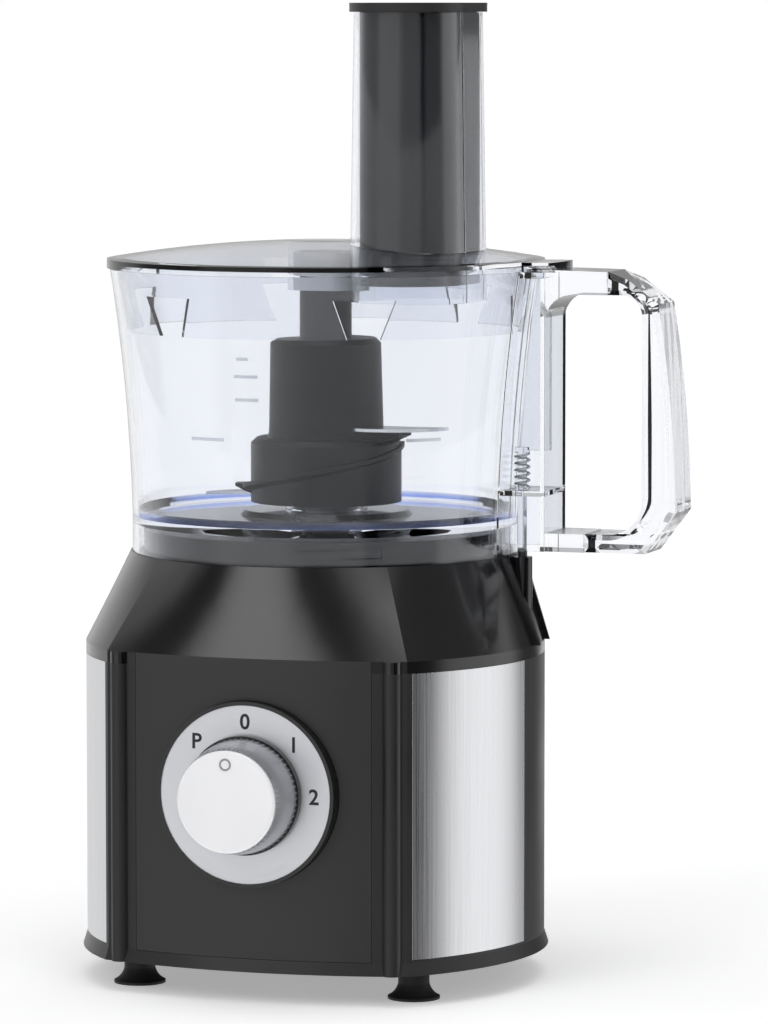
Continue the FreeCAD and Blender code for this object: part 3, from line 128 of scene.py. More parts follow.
# %% Light the studio
FLOOR_SIZE = 400.0
FLOOR_COLOUR = (0.93, 0.93, 0.93)
FLOOR_GLOW = 0.34
DOME_LEVEL = 0.80
# azimuth from the front towards +X, elevation, inner and outer half angle in degrees, added light
DOME_PATCHES = [
    ("softbox_right", 112, 0, 12, 30, 0.32),
    ("softbox_left", -132, -2, 18, 36, 0.05),
    ("softbox_front", -24, 37, 5, 20, 2.60),
    ("softbox_above", 10, 82, 16, 34, 1.30),
    ("flag_front", -24, 42, 26, 42, -0.72),
    ("flag_camera", 24, -2, 14, 32, -0.50),
    ("flag_right_front", 66, 0, 17, 29, -0.80),
    ("flag_right_back", 156, 4, 12, 24, -0.72),
    ("flag_left_high", -140, 46, 20, 34, -0.70),
    ("flag_right_high", 112, 50, 20, 34, -0.60),
    ("flag_left", -72, 0, 12, 30, -0.50),
    ("flag_behind", -162, 6, 8, 20, -0.28),
]


def direction(azimuth, elevation):
    """The unit vector that way, azimuth 0 being the machine's front."""
    a, e = math.radians(azimuth), math.radians(elevation)
    return Vector((math.sin(a) * math.cos(e), -math.cos(a) * math.cos(e), math.sin(e)))


def light_dome():
    """An even white dome with soft bright and dark patches, which the camera itself sees as plain."""
    world = bpy.data.worlds.new("studio_dome")
    world.use_nodes = True
    tree = world.node_tree
    ray = add(tree, "ShaderNodeNewGeometry").outputs["Incoming"]
    level = DOME_LEVEL
    for name, azimuth, elevation, inner, outer, amount in DOME_PATCHES:
        towards = direction(azimuth, elevation)
        facing = add(tree, "ShaderNodeVectorMath", {0: ray, 1: -towards}, operation="DOT_PRODUCT")
        patch = add(tree, "ShaderNodeMapRange", {
            "Value": facing.outputs["Value"],
            "From Min": math.cos(math.radians(outer)),
            "From Max": math.cos(math.radians(inner)),
            "To Min": 0.0,
            "To Max": amount,
        }, interpolation_type="SMOOTHSTEP", label=name)
        total = add(tree, "ShaderNodeMath", {0: level, 1: patch.outputs["Result"]}, operation="ADD")
        level = total.outputs[0]
    seen = add(tree, "ShaderNodeLightPath").outputs["Is Camera Ray"]
    brightness = add(tree, "ShaderNodeMix", {"Factor": seen, "A": level, "B": 1.0}, data_type="FLOAT")
    give(tree, tree.nodes["Background"].inputs["Strength"], brightness.outputs["Result"])
    tree.nodes["Background"].inputs["Color"].default_value = (1, 1, 1, 1)
    bpy.context.scene.world = world


def lay_floor():
    """A pale matt floor that runs to the horizon."""
    mesh = bpy.data.meshes.new("floor")
    half = FLOOR_SIZE / 2
    corners = [(-half, -half, 0), (half, -half, 0), (half, half, 0), (-half, half, 0)]
    mesh.from_pydata(corners, [], [(0, 1, 2, 3)])
    floor = bpy.data.objects.new("floor", mesh)
    bpy.context.scene.collection.objects.link(floor)
    paper = bpy.data.materials.new("floor_paper")
    paper.use_nodes = True
    shader = paper.node_tree.nodes["Principled BSDF"]
    shader.inputs["Base Color"].default_value = (*FLOOR_COLOUR, 1)
    shader.inputs["Roughness"].default_value = 0.9
    shader.inputs["Specular IOR Level"].default_value = 0.1
    shader.inputs["Emission Color"].default_value = (1, 1, 1, 1)
    shader.inputs["Emission Strength"].default_value = FLOOR_GLOW
    mesh.materials.append(paper)
    floor.visible_glossy = False
    return floor


light_dome()
lay_floor()
bpy.context.scene.view_settings.view_transform = "Standard"
print("dome with", len(DOME_PATCHES), "patches over a floor of", FLOOR_SIZE, "m")

# %% [markdown]
# ## Finishes, one recipe each
#
# A finish is a shader with a colour, a roughness and something that breaks them up: a grain, a
# streak, a scratch. They read the part's own coordinates, in metres, so that the pattern is as
# large as it is in life and stays on the part when it moves.

# %% Helpers for finishes
def finish(name, colour, roughness, metallic=0.0, **sockets):
    """A material with one Principled shader. Returns the material, its tree and its shader."""
    material = bpy.data.materials.new(name)
    material.use_nodes = True
    tree = material.node_tree
    shader = tree.nodes["Principled BSDF"]
    shader.inputs["Base Color"].default_value = (*colour, 1.0)
    shader.inputs["Roughness"].default_value = roughness
    shader.inputs["Metallic"].default_value = metallic
    for label, value in sockets.items():
        shader.inputs[label.replace("_", " ")].default_value = value
    return material, tree, shader


def on_part(tree, stretch=(1, 1, 1), centre=(0, 0, 0)):
    """The part's own coordinates, taken from a centre and then stretched along each axis."""
    place = add(tree, "ShaderNodeTexCoord").outputs["Object"]
    moved = add(tree, "ShaderNodeVectorMath", {0: place, 1: centre}, operation="SUBTRACT")
    drawn = add(tree, "ShaderNodeVectorMath", {0: moved.outputs[0], 1: stretch}, operation="MULTIPLY")
    return drawn.outputs[0]


def noise(tree, vector, scale, detail=2.0):
    """Smooth random values from 0 to 1."""
    return add(tree, "ShaderNodeTexNoise", {"Vector": vector, "Scale": scale, "Detail": detail}).outputs[0]


def between(tree, value, low, high, from_low=0.3, from_high=0.7):
    """The value, spread from low to high."""
    return add(tree, "ShaderNodeMapRange", {
        "Value": value, "From Min": from_low, "From Max": from_high, "To Min": low, "To Max": high,
    }).outputs["Result"]


def shade(tree, shader, value, dark, light):
    """Lets the value run the shader's colour from a dark to a light tone."""
    mix = add(tree, "ShaderNodeMix", {
        "Factor": value, 6: (*dark, 1.0), 7: (*light, 1.0),
    }, data_type="RGBA")
    give(tree, shader.inputs["Base Color"], mix.outputs[2])


def emboss(tree, shader, height, depth, strength=1.0):
    """Raises and lowers the surface a little, depth being in metres."""
    bump = add(tree, "ShaderNodeBump", {"Height": height, "Distance": depth, "Strength": strength})
    give(tree, shader.inputs["Normal"], bump.outputs["Normal"])


def dress(material, *names):
    """Gives a finish to parts of the design."""
    for name in names:
        slots = nodes[name].data.materials
        for index in range(len(slots)):
            slots[index] = material


print("finish helpers ready")

# %% [markdown]
# ## Black plastics
#
# The stand is moulded in black. The body has a fine spark-eroded grain that scatters light, the
# front panel is smoother, and the shoulder is polished. Under a loupe even a polished moulding is
# slightly wavy and holds dust, so its roughness drifts. One recipe with a grain size, a grain
# depth and a gloss makes them all. The grain is only as fine as the picture can show: anything
# finer than a rendered dot would sparkle.

# %% Mix the black plastics
def black_plastic(name, tone, gloss, grain, depth, coat=0.0, specular=0.5):
    """Moulded plastic: grain is the size of its texture and depth its height, both in metres."""
    material, tree, shader = finish(name, tone, gloss, Coat_Weight=coat, Coat_Roughness=0.06,
                                    Specular_IOR_Level=specular)
    place = on_part(tree)
    fine = noise(tree, place, 1.0 / grain, 2.0)
    broad = noise(tree, place, 18.0, 2.0)
    give(tree, shader.inputs["Roughness"], between(tree, broad, gloss * 0.85, gloss * 1.2))
    shade(tree, shader, broad, [c * 0.9 for c in tone], [c * 1.12 for c in tone])
    emboss(tree, shader, fine, depth, 0.5)
    return material


housing_black = black_plastic("housing_black", (0.019, 0.019, 0.021), 0.38, 0.0012, 0.00002)
panel_black = black_plastic("panel_black", (0.026, 0.026, 0.027), 0.34, 0.0012, 0.00001)
gloss_black = black_plastic("gloss_black", (0.007, 0.007, 0.008), 0.20, 0.006, 0.00001, coat=0.35)
trim_black = black_plastic("trim_black", (0.010, 0.010, 0.011), 0.22, 0.004, 0.00001, coat=0.3)
hub_black = black_plastic("hub_black", (0.008, 0.008, 0.009), 0.42, 0.003, 0.00001, specular=0.30)
pusher_black = black_plastic("pusher_black", (0.030, 0.030, 0.031), 0.42, 0.004, 0.00001, specular=0.35)
rubber = black_plastic("rubber", (0.014, 0.014, 0.014), 0.62, 0.0016, 0.00003)
switch_plastic = black_plastic("switch_plastic", (0.045, 0.045, 0.050), 0.45, 0.0015, 0.00002)
acetal_black = black_plastic("acetal_black", (0.030, 0.030, 0.033), 0.32, 0.003, 0.00001)
fan_grey = black_plastic("fan_grey", (0.10, 0.10, 0.11), 0.45, 0.002, 0.00002)
carbon_black = black_plastic("carbon_black", (0.028, 0.028, 0.028), 0.70, 0.0008, 0.00004)
bush_white = black_plastic("bush_white", (0.78, 0.78, 0.76), 0.42, 0.003, 0.00001)
dress(housing_black, "main_housing", "bottom_cover")
dress(panel_black, "front_panel")
dress(gloss_black, "top_cover")
dress(trim_black, "dial_bezel", "knob_root_ring")
dress(hub_black, "blade_hub", "spindle_adapter")
dress(pusher_black, "pusher")
dress(rubber, "foot_front_left", "foot_front_right", "foot_back_left", "foot_back_right",
      "cord_gland", "motor_mounts", "shaft_seal")
dress(switch_plastic, "rotary_switch", "interlock_switch", "brush_holders")
dress(acetal_black, "drive_coupler", "interlock_plunger")
dress(fan_grey, "cooling_fan")
dress(carbon_black, "carbon_brushes")
dress(bush_white, "bowl_bush", "lid_bush")
print("twelve moulded finishes")

# %% [markdown]
# ## Steel, copper and bronze
#
# The flanks are stainless sheet brushed upright: thousands of fine upright scratches. Real
# scratches are far thinner than a rendered dot, so streaks are noise squeezed across and drawn out
# along the brushing, which drives the roughness, the colour and a very shallow emboss. The motor's
# laminated core gets the same recipe with its streaks lying flat, because it is a stack of sheets,
# and the copper and the bronze bearings differ in colour only.

# %% Brush the metals
def brushed_metal(name, tone, roughness, stretch, centre=(0, 0, 0), depth=0.00001, contrast=0.88):
    """Metal with streaks drawn out along the axis that has the smallest stretch."""
    material, tree, shader = finish(name, tone, roughness, 1.0, Anisotropic=0.4)
    streaks = noise(tree, on_part(tree, stretch, centre), 1.0, 3.0)
    give(tree, shader.inputs["Roughness"], between(tree, streaks, roughness * 0.85, roughness * 1.2))
    shade(tree, shader, streaks, [c * contrast for c in tone], tone)
    emboss(tree, shader, streaks, depth, 0.4)
    return material


flank_steel = brushed_metal("flank_steel", (0.80, 0.81, 0.83), 0.26, (1500, 1500, 12), contrast=0.92)
shaft_steel = brushed_metal("shaft_steel", (0.60, 0.60, 0.61), 0.22, (60, 60, 2500))
bracket_steel = brushed_metal("bracket_steel", (0.45, 0.46, 0.47), 0.38, (400, 400, 400))
screw_steel = brushed_metal("screw_steel", (0.58, 0.59, 0.61), 0.30, (800, 800, 800))
spring_steel = brushed_metal("spring_steel", (0.50, 0.51, 0.52), 0.26, (400, 400, 1500))
blade_steel = brushed_metal("blade_steel", (0.70, 0.71, 0.73), 0.20, (120, 1200, 1200))
core_steel = brushed_metal("core_steel", (0.20, 0.20, 0.21), 0.50, (20, 20, 2000), contrast=0.6)
copper = brushed_metal("copper", (0.62, 0.27, 0.12), 0.34, (30, 30, 1600), contrast=0.7)
bronze = brushed_metal("bronze", (0.48, 0.33, 0.16), 0.42, (500, 500, 500))
dress(flank_steel, "steel_panel_left", "steel_panel_right")
dress(shaft_steel, "motor_shaft", "switch_spindle")
dress(bracket_steel, "lower_bracket", "upper_bracket")
dress(screw_steel, "cover_screws", "mount_screws")
dress(spring_steel, "plunger_spring", "rod_spring")
dress(blade_steel, "upper_blade", "lower_blade")
dress(core_steel, "stator_core", "armature_core")
dress(copper, "field_windings", "armature_windings", "commutator")
dress(bronze, "lower_bearing", "upper_bearing")
board_green, board_tree, board_shader = finish("board_green", (0.03, 0.15, 0.07), 0.35)
shade(board_tree, board_shader, noise(board_tree, on_part(board_tree), 160.0), (0.02, 0.10, 0.05),
      (0.04, 0.19, 0.09))
dress(board_green, "control_board")
print("nine metals and a circuit board")

# %% [markdown]
# ## Clear plastic
#
# Bowl, lid and grip are clear styrene. It bends light, mirrors a little, and looks blue where
# light runs a long way inside it, which is in the ring where the bowl's floor meets its wall. Real
# refraction keeps all that. Light sources, though, can't be found through a bent path in
# reasonable time, so for them the plastic is a tinted pane that lets them straight through. The
# blue ring is a change of tint with height on the part, since a thin wall has no depth to colour.

# %% Cast the clear plastic
CLEAR_TINT = (0.920, 0.935, 0.966)
EDGE_BLUE = (0.45, 0.56, 0.96)
GREY_PANE = (0.80, 0.82, 0.86)


def clear_plastic(name, tint, roughness=0.02, ior=1.45):
    """Refracting plastic that lamps and dome shine straight through."""
    material, tree, shader = finish(name, tint, roughness, Transmission_Weight=1.0, IOR=ior)
    pane = add(tree, "ShaderNodeBsdfTransparent", {"Color": (*tint, 1.0)})
    lamp = add(tree, "ShaderNodeLightPath").outputs["Is Shadow Ray"]
    both = add(tree, "ShaderNodeMixShader", {0: lamp, 1: shader.outputs[0], 2: pane.outputs[0]})
    give(tree, tree.nodes["Material Output"].inputs["Surface"], both.outputs[0])
    return material, tree, shader


def blue_ring(tree, shader, tint, radius, height, reach):
    """Tints the plastic blue near a level circle about the drive axis."""
    place = add(tree, "ShaderNodeTexCoord").outputs["Object"]
    z = add(tree, "ShaderNodeSeparateXYZ", {0: place}).outputs["Z"]
    level = add(tree, "ShaderNodeVectorMath", {0: place, 1: (1, 1, 0)}, operation="MULTIPLY")
    far = add(tree, "ShaderNodeVectorMath", {0: level.outputs[0]}, operation="LENGTH").outputs["Value"]
    out = add(tree, "ShaderNodeMath", {0: far, 1: radius}, operation="SUBTRACT").outputs[0]
    up = add(tree, "ShaderNodeMath", {0: z, 1: height}, operation="SUBTRACT").outputs[0]
    offset = add(tree, "ShaderNodeCombineXYZ", {0: out, 1: up}).outputs[0]
    away = add(tree, "ShaderNodeVectorMath", {0: offset}, operation="LENGTH").outputs["Value"]
    shade(tree, shader, between(tree, away, 1.0, 0.0, reach * 0.3, reach), tint, EDGE_BLUE)


def bowl_floor_height():
    """Top of the bush under the bowl's floor."""
    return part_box("bowl_bush")[1].z


FLOOR_WALL = 3.4 * MM
FLOOR_EDGE = 73.5 * MM
bowl_clear, bowl_tree, bowl_shader = clear_plastic("bowl_clear", CLEAR_TINT)
blue_ring(bowl_tree, bowl_shader, CLEAR_TINT, FLOOR_EDGE, bowl_floor_height() + FLOOR_WALL, 3.2 * MM)
lid_clear, _, _ = clear_plastic("lid_clear", CLEAR_TINT)
rod_clear, _, _ = clear_plastic("rod_clear", GREY_PANE, 0.12)
mark_clear, _, _ = clear_plastic("mark_clear", GREY_PANE, 0.30)
dress(bowl_clear, "bowl")
dress(lid_clear, "lid", "handle_grip")
dress(rod_clear, "interlock_rod")
print("bowl floor at", round(bowl_floor_height() / MM, 1), "mm")

# %% [markdown]
# ## The dial's finishes
#
# The dial plate is anodised silver, spun so that fine circles run round its centre, and the knob
# is silver plastic with a pale glossy cap. Circles are noise that depends only on the distance
# from the knob's axis, and a little on the angle, so they break up like real tool marks.

# %% Spin the dial plate and coat the knob
KNOB_AXIS = (0.0, 0.0, (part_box("knob_cap")[0].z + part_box("knob_cap")[1].z) / 2)
DIAL_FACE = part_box("dial_plate")[0].y
RING_PITCH = 2600.0


def spun_metal(name, tone, roughness):
    """Metal with fine circles round the knob's axis."""
    material, tree, shader = finish(name, tone, roughness, 0.75, Anisotropic=0.3)
    flat = on_part(tree, (1, 0, 1), KNOB_AXIS)
    radius = add(tree, "ShaderNodeVectorMath", {0: flat}, operation="LENGTH").outputs["Value"]
    far = add(tree, "ShaderNodeMath", {0: radius, 1: RING_PITCH}, operation="MULTIPLY").outputs[0]
    along = add(tree, "ShaderNodeVectorMath", {0: flat, 1: (60, 60, 60)}, operation="MULTIPLY")
    place = add(tree, "ShaderNodeCombineXYZ", {0: far})
    both = add(tree, "ShaderNodeVectorMath", {0: place.outputs[0], 1: along.outputs[0]}, operation="ADD")
    circles = noise(tree, both.outputs[0], 1.0, 2.0)
    give(tree, shader.inputs["Roughness"], between(tree, circles, roughness * 0.8, roughness * 1.2))
    shade(tree, shader, circles, [c * 0.90 for c in tone], tone)
    emboss(tree, shader, circles, 0.00001, 0.4)
    return material


dial_silver = spun_metal("dial_silver", (0.92, 0.93, 0.97), 0.40)
knob_silver = black_plastic("knob_silver", (0.42, 0.43, 0.46), 0.28, 0.004, 0.00001, coat=0.3)
knob_silver.node_tree.nodes["Principled BSDF"].inputs["Metallic"].default_value = 0.5
cap_white = black_plastic("cap_white", (0.96, 0.96, 0.98), 0.20, 0.006, 0.00001, coat=0.5)
mark_grey = black_plastic("mark_grey", (0.30, 0.30, 0.33), 0.35, 0.003, 0.00001)
# Ink for the dial's print; the same black is also painted shade in the screws' cross recesses.
print_and_shade_black = black_plastic("print_and_shade_black", (0.020, 0.020, 0.022), 0.45, 0.002, 0.00001)
dress(dial_silver, "dial_plate")
dress(knob_silver, "knob")
dress(cap_white, "knob_cap")
print("dial face at y", round(DIAL_FACE / MM, 1), "mm, knob axis", round(KNOB_AXIS[2] / MM, 1), "mm up")

# %% [markdown]
# ## New pieces
#
# Details that carry no load are made here and ride on the part they belong to. A piece is built
# straight in the machine's own place, so that its object never has to be moved.

# %% Helpers for new pieces
def new_piece(name, mesh, material, body):
    """An object for a finished mesh, with its finish and its body."""
    piece = bpy.data.objects.new(name, mesh)
    bpy.context.scene.collection.objects.link(piece)
    mesh.materials.clear()
    mesh.materials.append(material)
    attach(piece, body)
    return piece


def mesh_of(name, points, faces):
    """A closed mesh with merged corners and faces that point outwards."""
    mesh = bpy.data.meshes.new(name)
    mesh.from_pydata(points, [], faces)
    work = bmesh.new()
    work.from_mesh(mesh)
    bmesh.ops.remove_doubles(work, verts=work.verts, dist=1e-7)
    bmesh.ops.recalc_face_normals(work, faces=work.faces)
    work.to_mesh(mesh)
    work.free()
    return mesh


def swept(name, sections):
    """A closed bar through a row of four-cornered sections."""
    points = [corner for section in sections for corner in section]
    faces = [(0, 1, 2, 3)]
    for start in range(0, 4 * (len(sections) - 1), 4):
        for side in range(4):
            nearer = (side + 1) % 4
            faces.append((start + side, start + nearer, start + 4 + nearer, start + 4 + side))
    last = 4 * (len(sections) - 1)
    faces.append((last + 3, last + 2, last + 1, last))
    return mesh_of(name, points, faces)


def arc_bar(name, radius, low, high, middle, half, out, steps=16):
    """A bar that lies on a round wall: middle and half are angles in degrees."""
    sections = []
    for step in range(steps + 1):
        angle = math.radians(middle - half + 2 * half * step / steps)
        across = Vector((math.cos(angle), math.sin(angle), 0))
        inner, outer = across * radius, across * (radius + out)
        sections.append([inner + Vector((0, 0, low)), outer + Vector((0, 0, low)),
                         outer + Vector((0, 0, high)), inner + Vector((0, 0, high))])
    return swept(name, sections)


print("piece helpers ready")

# %% [markdown]
# ## Repeats round an axis
#
# The knob's grip is a ring of ribs, and a screw's cross is one bar laid over itself. Both are one
# element repeated round an axis. Copying it in a loop would work, but a Geometry Nodes tree keeps
# the element, the count and the place apart: the object's own mesh is one element, and the tree
# puts a copy of it on each of many points that share one place and differ in their turn. It ends
# in plain mesh, because instances don't survive an export.

# %% Build the tree that repeats an element
def repeat_tree():
    """Geometry Nodes: copies of the object's mesh turned about Z, then turned and moved as a whole."""
    tree = bpy.data.node_groups.new("repeat_round_axis", "GeometryNodeTree")
    face = tree.interface
    face.new_socket("Geometry", in_out="INPUT", socket_type="NodeSocketGeometry")
    face.new_socket("Count", in_out="INPUT", socket_type="NodeSocketInt")
    face.new_socket("Turn", in_out="INPUT", socket_type="NodeSocketVector")
    face.new_socket("Place", in_out="INPUT", socket_type="NodeSocketVector")
    face.new_socket("Finish", in_out="INPUT", socket_type="NodeSocketMaterial")
    face.new_socket("Geometry", in_out="OUTPUT", socket_type="NodeSocketGeometry")
    entry = tree.nodes.new("NodeGroupInput").outputs
    spots = add(tree, "GeometryNodePoints", {"Count": entry["Count"]})
    number = add(tree, "GeometryNodeInputIndex").outputs[0]
    share = add(tree, "ShaderNodeMath", {0: number, 1: entry["Count"]}, operation="DIVIDE")
    angle = add(tree, "ShaderNodeMath", {0: share.outputs[0], 1: math.tau}, operation="MULTIPLY")
    spin = add(tree, "ShaderNodeCombineXYZ", {"Z": angle.outputs[0]})
    copies = add(tree, "GeometryNodeInstanceOnPoints", {
        "Points": spots.outputs[0], "Instance": entry["Geometry"], "Rotation": spin.outputs[0],
    })
    plain = add(tree, "GeometryNodeRealizeInstances", {0: copies.outputs[0]})
    moved = add(tree, "GeometryNodeTransform", {
        "Geometry": plain.outputs[0], "Translation": entry["Place"], "Rotation": entry["Turn"],
    })
    coated = add(tree, "GeometryNodeSetMaterial", {
        "Geometry": moved.outputs[0], "Material": entry["Finish"],
    })
    leave = tree.nodes.new("NodeGroupOutput")
    give(tree, leave.inputs[0], coated.outputs[0])
    return tree


def repeated(name, element, material, count, turn=(0, 0, 0), place=(0, 0, 0)):
    """The plain mesh that the tree makes from one element."""
    maker = bpy.data.objects.new(name + "_element", element)
    bpy.context.scene.collection.objects.link(maker)
    modifier = maker.modifiers.new("repeat", "NODES")
    modifier.node_group = REPEAT
    sockets = {item.name: item.identifier for item in REPEAT.interface.items_tree
               if item.in_out == "INPUT"}
    for label, value in (("Count", count), ("Turn", turn), ("Place", place), ("Finish", material)):
        modifier[sockets[label]] = value
    seen = maker.evaluated_get(bpy.context.evaluated_depsgraph_get())
    mesh = bpy.data.meshes.new_from_object(seen)
    mesh.name = name
    bpy.data.objects.remove(maker)
    return mesh


REPEAT = repeat_tree()
print("tree with", len(REPEAT.nodes), "nodes")

# %% [markdown]
# ## The knob's ribs and its mark
#
# Fingers turn the knob by fine ribs down its side. A rib is a low ridge with a rounded back: three
# lengthwise faces on a base that sinks a little into the knob, so that no gap shows. It is drawn
# once beside the upright axis, repeated sixty times, and the whole ring is laid on its side to
# point out of the front. The mark that shows the setting is a small raised ring on the cap.

# %% Cut the knob's ribs
RIB_COUNT = 60
RIB_SUNK = 0.5 * MM
RIB_PROUD = 0.35 * MM
# share of the knob's length, half width of the rib's base there
RIB_WIDTHS = ((0.0, 0.55 * MM), (0.45, 0.55 * MM), (1.0, 0.35 * MM))
knob_low, knob_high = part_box("knob")
KNOB_RADIUS = (knob_high.x - knob_low.x) / 2
KNOB_LENGTH = knob_high.y - knob_low.y
CAP_RADIUS = (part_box("knob_cap")[1].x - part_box("knob_cap")[0].x) / 2
CAP_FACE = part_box("knob_cap")[0].y
LIE_FORWARD = (math.radians(90), 0, 0)
MARK_BELOW_RIM = 5.2 * MM
RING_RADIUS = 2.0 * MM
RING_WIRE = 0.45 * MM
RING_HALF_DEPTH = 0.3 * MM


def rib_element():
    """One ridge along the knob, which narrows a little towards its face."""
    sections = []
    for share, half in RIB_WIDTHS:
        reach = KNOB_RADIUS + (CAP_RADIUS - KNOB_RADIUS) * share ** 1.6
        height = KNOB_LENGTH * share
        sections.append([Vector((reach - RIB_SUNK, -half, height)),
                         Vector((reach + RIB_PROUD, -half * 0.5, height)),
                         Vector((reach + RIB_PROUD, half * 0.5, height)),
                         Vector((reach - RIB_SUNK, half, height))])
    return swept("knob_rib", sections)


rib_mesh = repeated("knob_ribs", rib_element(), knob_silver, RIB_COUNT, LIE_FORWARD,
                    (0, knob_high.y, KNOB_AXIS[2]))
new_piece("knob_ribs", rib_mesh, knob_silver, "knob")


def ring_on_cap(name, middle_up, radius, wire, steps=40):
    """A small raised ring that lies on the cap."""
    sections = []
    sunk = Vector((0, RING_HALF_DEPTH, 0))
    for step in range(steps + 1):
        angle = math.tau * step / steps
        across = Vector((math.cos(angle), 0, math.sin(angle)))
        centre = Vector((0, CAP_FACE, KNOB_AXIS[2] + middle_up))
        sections.append([centre + across * (radius - wire) + sunk,
                         centre + across * (radius + wire) + sunk,
                         centre + across * (radius + wire * 0.6) - sunk,
                         centre + across * (radius - wire * 0.6) - sunk])
    points = [corner for section in sections[:-1] for corner in section]
    count = len(points)
    faces = [(start + side, start + (side + 1) % 4, (start + 4) % count + (side + 1) % 4,
              (start + 4) % count + side) for start in range(0, count, 4) for side in range(4)]
    return mesh_of(name, points, faces)


mark_mesh = ring_on_cap("knob_mark", CAP_RADIUS - MARK_BELOW_RIM, RING_RADIUS, RING_WIRE)
new_piece("knob_mark", mark_mesh, mark_grey, "knob")
print(RIB_COUNT, "ribs,", len(rib_mesh.polygons), "faces")

# %% [markdown]
# ## Marks on the dial
#
# The settings are printed round the knob: a pulse, off, and two speeds. Printing has almost no
# height, but a flat text would flicker against the plate, so the text is a curve with a little
# thickness, turned into a mesh and stood upright on the dial's face.

# %% Print the dial's marks
MARK_RADIUS = 27.6 * MM
MARK_SIZE = 8.2 * MM
DIAL_MARKS = (("P", -45.0), ("0", 0.0), ("1", 45.0), ("2", 90.0))


def print_mark(word, clock):
    """One character on the dial, at an angle clockwise from the top."""
    curve = bpy.data.curves.new("mark_" + word, "FONT")
    curve.body = word
    curve.size = MARK_SIZE
    curve.align_x = "CENTER"
    curve.align_y = "CENTER"
    curve.extrude = 0.06 * MM
    curve.offset = 0.16 * MM
    curve.resolution_u = 4
    text = bpy.data.objects.new("mark_" + word, curve)
    bpy.context.scene.collection.objects.link(text)
    seen = text.evaluated_get(bpy.context.evaluated_depsgraph_get())
    mesh = bpy.data.meshes.new_from_object(seen)
    bpy.data.objects.remove(text)
    angle = math.radians(clock)
    spot = Vector((math.sin(angle) * MARK_RADIUS, DIAL_FACE, KNOB_AXIS[2] + math.cos(angle) * MARK_RADIUS))
    mesh.transform(Matrix.Translation(spot) @ Matrix.Rotation(math.radians(90), 4, "X"))
    return new_piece("dial_mark_" + word, mesh, print_and_shade_black, "base")


for word, clock in DIAL_MARKS:
    print_mark(word, clock)
print("marks", [word for word, _ in DIAL_MARKS])

# %% [markdown]
# ## Lines on the bowl
#
# The bowl's wall carries raised measuring lines at its front left: short ones and a longer one
# below. They are low bars that follow the wall. The wall's radius changes with height, so it is
# measured on the part itself, where each line lies.

# %% Raise the measuring lines
# share of the bowl's height, then middle and half angle about the drive axis, in degrees
LINES = (
    (0.71, 266.0, 1.6),
    (0.65, 266.9, 3.4),
    (0.57, 266.9, 3.4),
    (0.43, 253.6, 5.5),
    (0.43, 318.0, 5.5),
)
LINE_HALF_HEIGHT = 0.6 * MM
LINE_PROUD = 0.35 * MM
LINE_SUNK = 0.05 * MM
bowl_low, bowl_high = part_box("bowl")


def wall_radius(height, middle):
    """Outer radius of the bowl at a height and an angle, met by a ray from outside."""
    bowl = nodes["bowl"].data
    wall = BVHTree.FromPolygons([v.co for v in bowl.vertices], [face.vertices for face in bowl.polygons])
    angle = math.radians(middle)
    outside = Vector((math.cos(angle) * bowl_high.x, math.sin(angle) * bowl_high.x, height))
    met = wall.ray_cast(outside, Vector((-math.cos(angle), -math.sin(angle), 0)))[0]
    return math.hypot(met.x, met.y)


for index, (share, middle, half) in enumerate(LINES):
    height = bowl_low.z + (bowl_high.z - bowl_low.z) * share
    radius = wall_radius(height, middle) - LINE_SUNK
    mesh = arc_bar(f"bowl_line_{index}", radius, height - LINE_HALF_HEIGHT,
                   height + LINE_HALF_HEIGHT, middle, half, LINE_PROUD)
    new_piece(f"bowl_line_{index}", mesh, mark_clear, "bowl")
    print("line at", round(height / MM, 1), "mm, radius", round(radius / MM, 1), "mm")

# %% [markdown]
# ## The screws' cross recesses
#
# Four screws hold the bottom cover, seen when the machine is turned over. Each head has a cross
# for the driver. Cutting it would change the design's mesh, so the cross is a dark inlay a hair
# proud of the head, painted shade where the recess would hold shade. Its bar is drawn once, and the
# tree turns copies of it into a cross.

# %% Mark the screws
SCREW_MERGE = 12 * MM
CROSS_REACH = 1.9 * MM
CROSS_MIDDLE_HALF = 0.42 * MM
CROSS_END_HALF = 0.30 * MM
CROSS_THICK = 0.12 * MM
CROSS_PROUD = 0.06 * MM


def screw_spots():
    """Middle and lowest height of each screw head, found as clusters in the screws' mesh."""
    spots = []
    for vertex in nodes["cover_screws"].data.vertices:
        place = vertex.co
        near = [s for s in spots if math.hypot(s["x"] - place.x, s["y"] - place.y) < SCREW_MERGE]
        if near:
            spot = near[0]
            spot["low"] = Vector((min(spot["low"].x, place.x), min(spot["low"].y, place.y),
                                  min(spot["low"].z, place.z)))
            spot["high"] = Vector((max(spot["high"].x, place.x), max(spot["high"].y, place.y), 0))
        else:
            spots.append({"x": place.x, "y": place.y, "low": place.copy(), "high": place.copy()})
    return [((s["low"].x + s["high"].x) / 2, (s["low"].y + s["high"].y) / 2, s["low"].z) for s in spots]


def cross_bar():
    """One tapered bar of a cross, lying on both sides of the upright axis."""
    sections = []
    for reach in (-CROSS_REACH, 0.0, CROSS_REACH):
        half = CROSS_MIDDLE_HALF if reach == 0.0 else CROSS_END_HALF
        sections.append([Vector((reach, -half, 0)), Vector((reach, half, 0)),
                         Vector((reach, half * 0.8, CROSS_THICK)),
                         Vector((reach, -half * 0.8, CROSS_THICK))])
    return swept("cross_bar", sections)


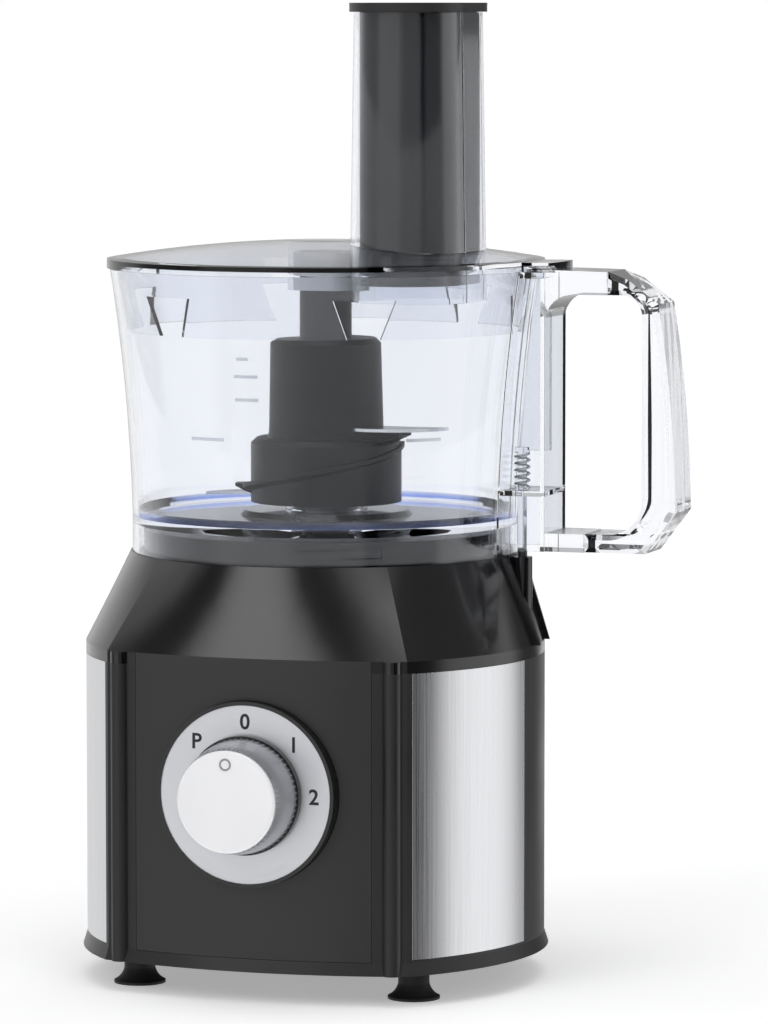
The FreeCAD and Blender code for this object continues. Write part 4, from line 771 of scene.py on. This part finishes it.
crosses = bmesh.new()
screw_heads = screw_spots()
for x, y, z in screw_heads:
    # two copies over a whole turn would lie on each other, so four make the cross
    crosses.from_mesh(repeated("cross", cross_bar(), print_and_shade_black, 4, place=(x, y, z - CROSS_PROUD)))
cross_mesh = bpy.data.meshes.new("screw_cross_shade")
crosses.to_mesh(cross_mesh)
crosses.free()
# The dark crosses are painted shade where the recesses would be.
new_piece("screw_cross_shade", cross_mesh, print_and_shade_black, "base")
print(len(screw_heads), "screws marked")

# %% [markdown]
# ## The ledge on the blade's hub
#
# A ledge winds up the hub from a small ear at its foot to an arm that carries the upper blade. It
# is a bar swept along a helix. Its section is upright on the outside and slopes underneath, as it
# must to leave the mould, and it stands out most near its start and thins to a narrow lip for its
# last third.

# %% Wind the hub's ledge
hub_low, hub_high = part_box("blade_hub")
HUB_RADIUS = (hub_high.x - hub_low.x) / 2
LEDGE_START, LEDGE_END = 196.0, 378.0
LEDGE_LOW, LEDGE_RISE = 6.0 * MM, 17.5 * MM
LEDGE_SUNK = 0.6 * MM
LEDGE_ROOT, LEDGE_NOSE = 3.2 * MM, 1.6 * MM
ARM_TURN = -14.0
upper_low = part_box("upper_blade")[0]


def hub_ledge(steps=48):
    """The helical ledge round the front of the hub."""
    sections = []
    for step in range(steps + 1):
        share = step / steps
        angle = math.radians(LEDGE_START + (LEDGE_END - LEDGE_START) * share)
        across = Vector((math.cos(angle), math.sin(angle), 0))
        z = hub_low.z + LEDGE_LOW + LEDGE_RISE * share
        out = (1.2 + 2.4 * math.sin(math.pi * min(1.0, 0.35 + share))) * MM
        inner, outer = across * (HUB_RADIUS - LEDGE_SUNK), across * (HUB_RADIUS + out)
        sections.append([inner + Vector((0, 0, z - LEDGE_ROOT)), outer + Vector((0, 0, z - LEDGE_NOSE)),
                         outer + Vector((0, 0, z)), inner + Vector((0, 0, z))])
    return swept("hub_ledge", sections)


def blade_arm(name, start, stop, low, high, width_start, width_stop, turn):
    """A tapered arm that leaves the hub at an angle, its underside rising outwards."""
    sections = []
    for share, drop in ((0.0, 0.0), (0.5, 0.3), (1.0, 0.75)):
        reach = start + (stop - start) * share
        half = width_start + (width_stop - width_start) * share
        foot = low + (high - low) * drop
        sections.append([Vector((reach, -half, foot)), Vector((reach, half, foot)),
                         Vector((reach, half, high)), Vector((reach, -half, high))])
    mesh = swept(name, sections)
    mesh.transform(Matrix.Rotation(math.radians(turn), 4, "Z"))
    return mesh


new_piece("hub_ledge", hub_ledge(), hub_black, "blade")
upper_arm = blade_arm("upper_blade_arm", HUB_RADIUS - 8 * MM, HUB_RADIUS + 7 * MM, upper_low.z - 6.5 * MM,
                      upper_low.z - 0.02 * MM, 7.5 * MM, 4.5 * MM, ARM_TURN)
new_piece("upper_blade_arm", upper_arm, hub_black, "blade")
ear = blade_arm("hub_ear", HUB_RADIUS - 1 * MM, HUB_RADIUS + 6 * MM, hub_low.z + 3.2 * MM,
                hub_low.z + 7.0 * MM, 6.0 * MM, 3.5 * MM, LEDGE_START)
new_piece("hub_ear", ear, hub_black, "blade")
print("hub radius", round(HUB_RADIUS / MM, 1), "mm")
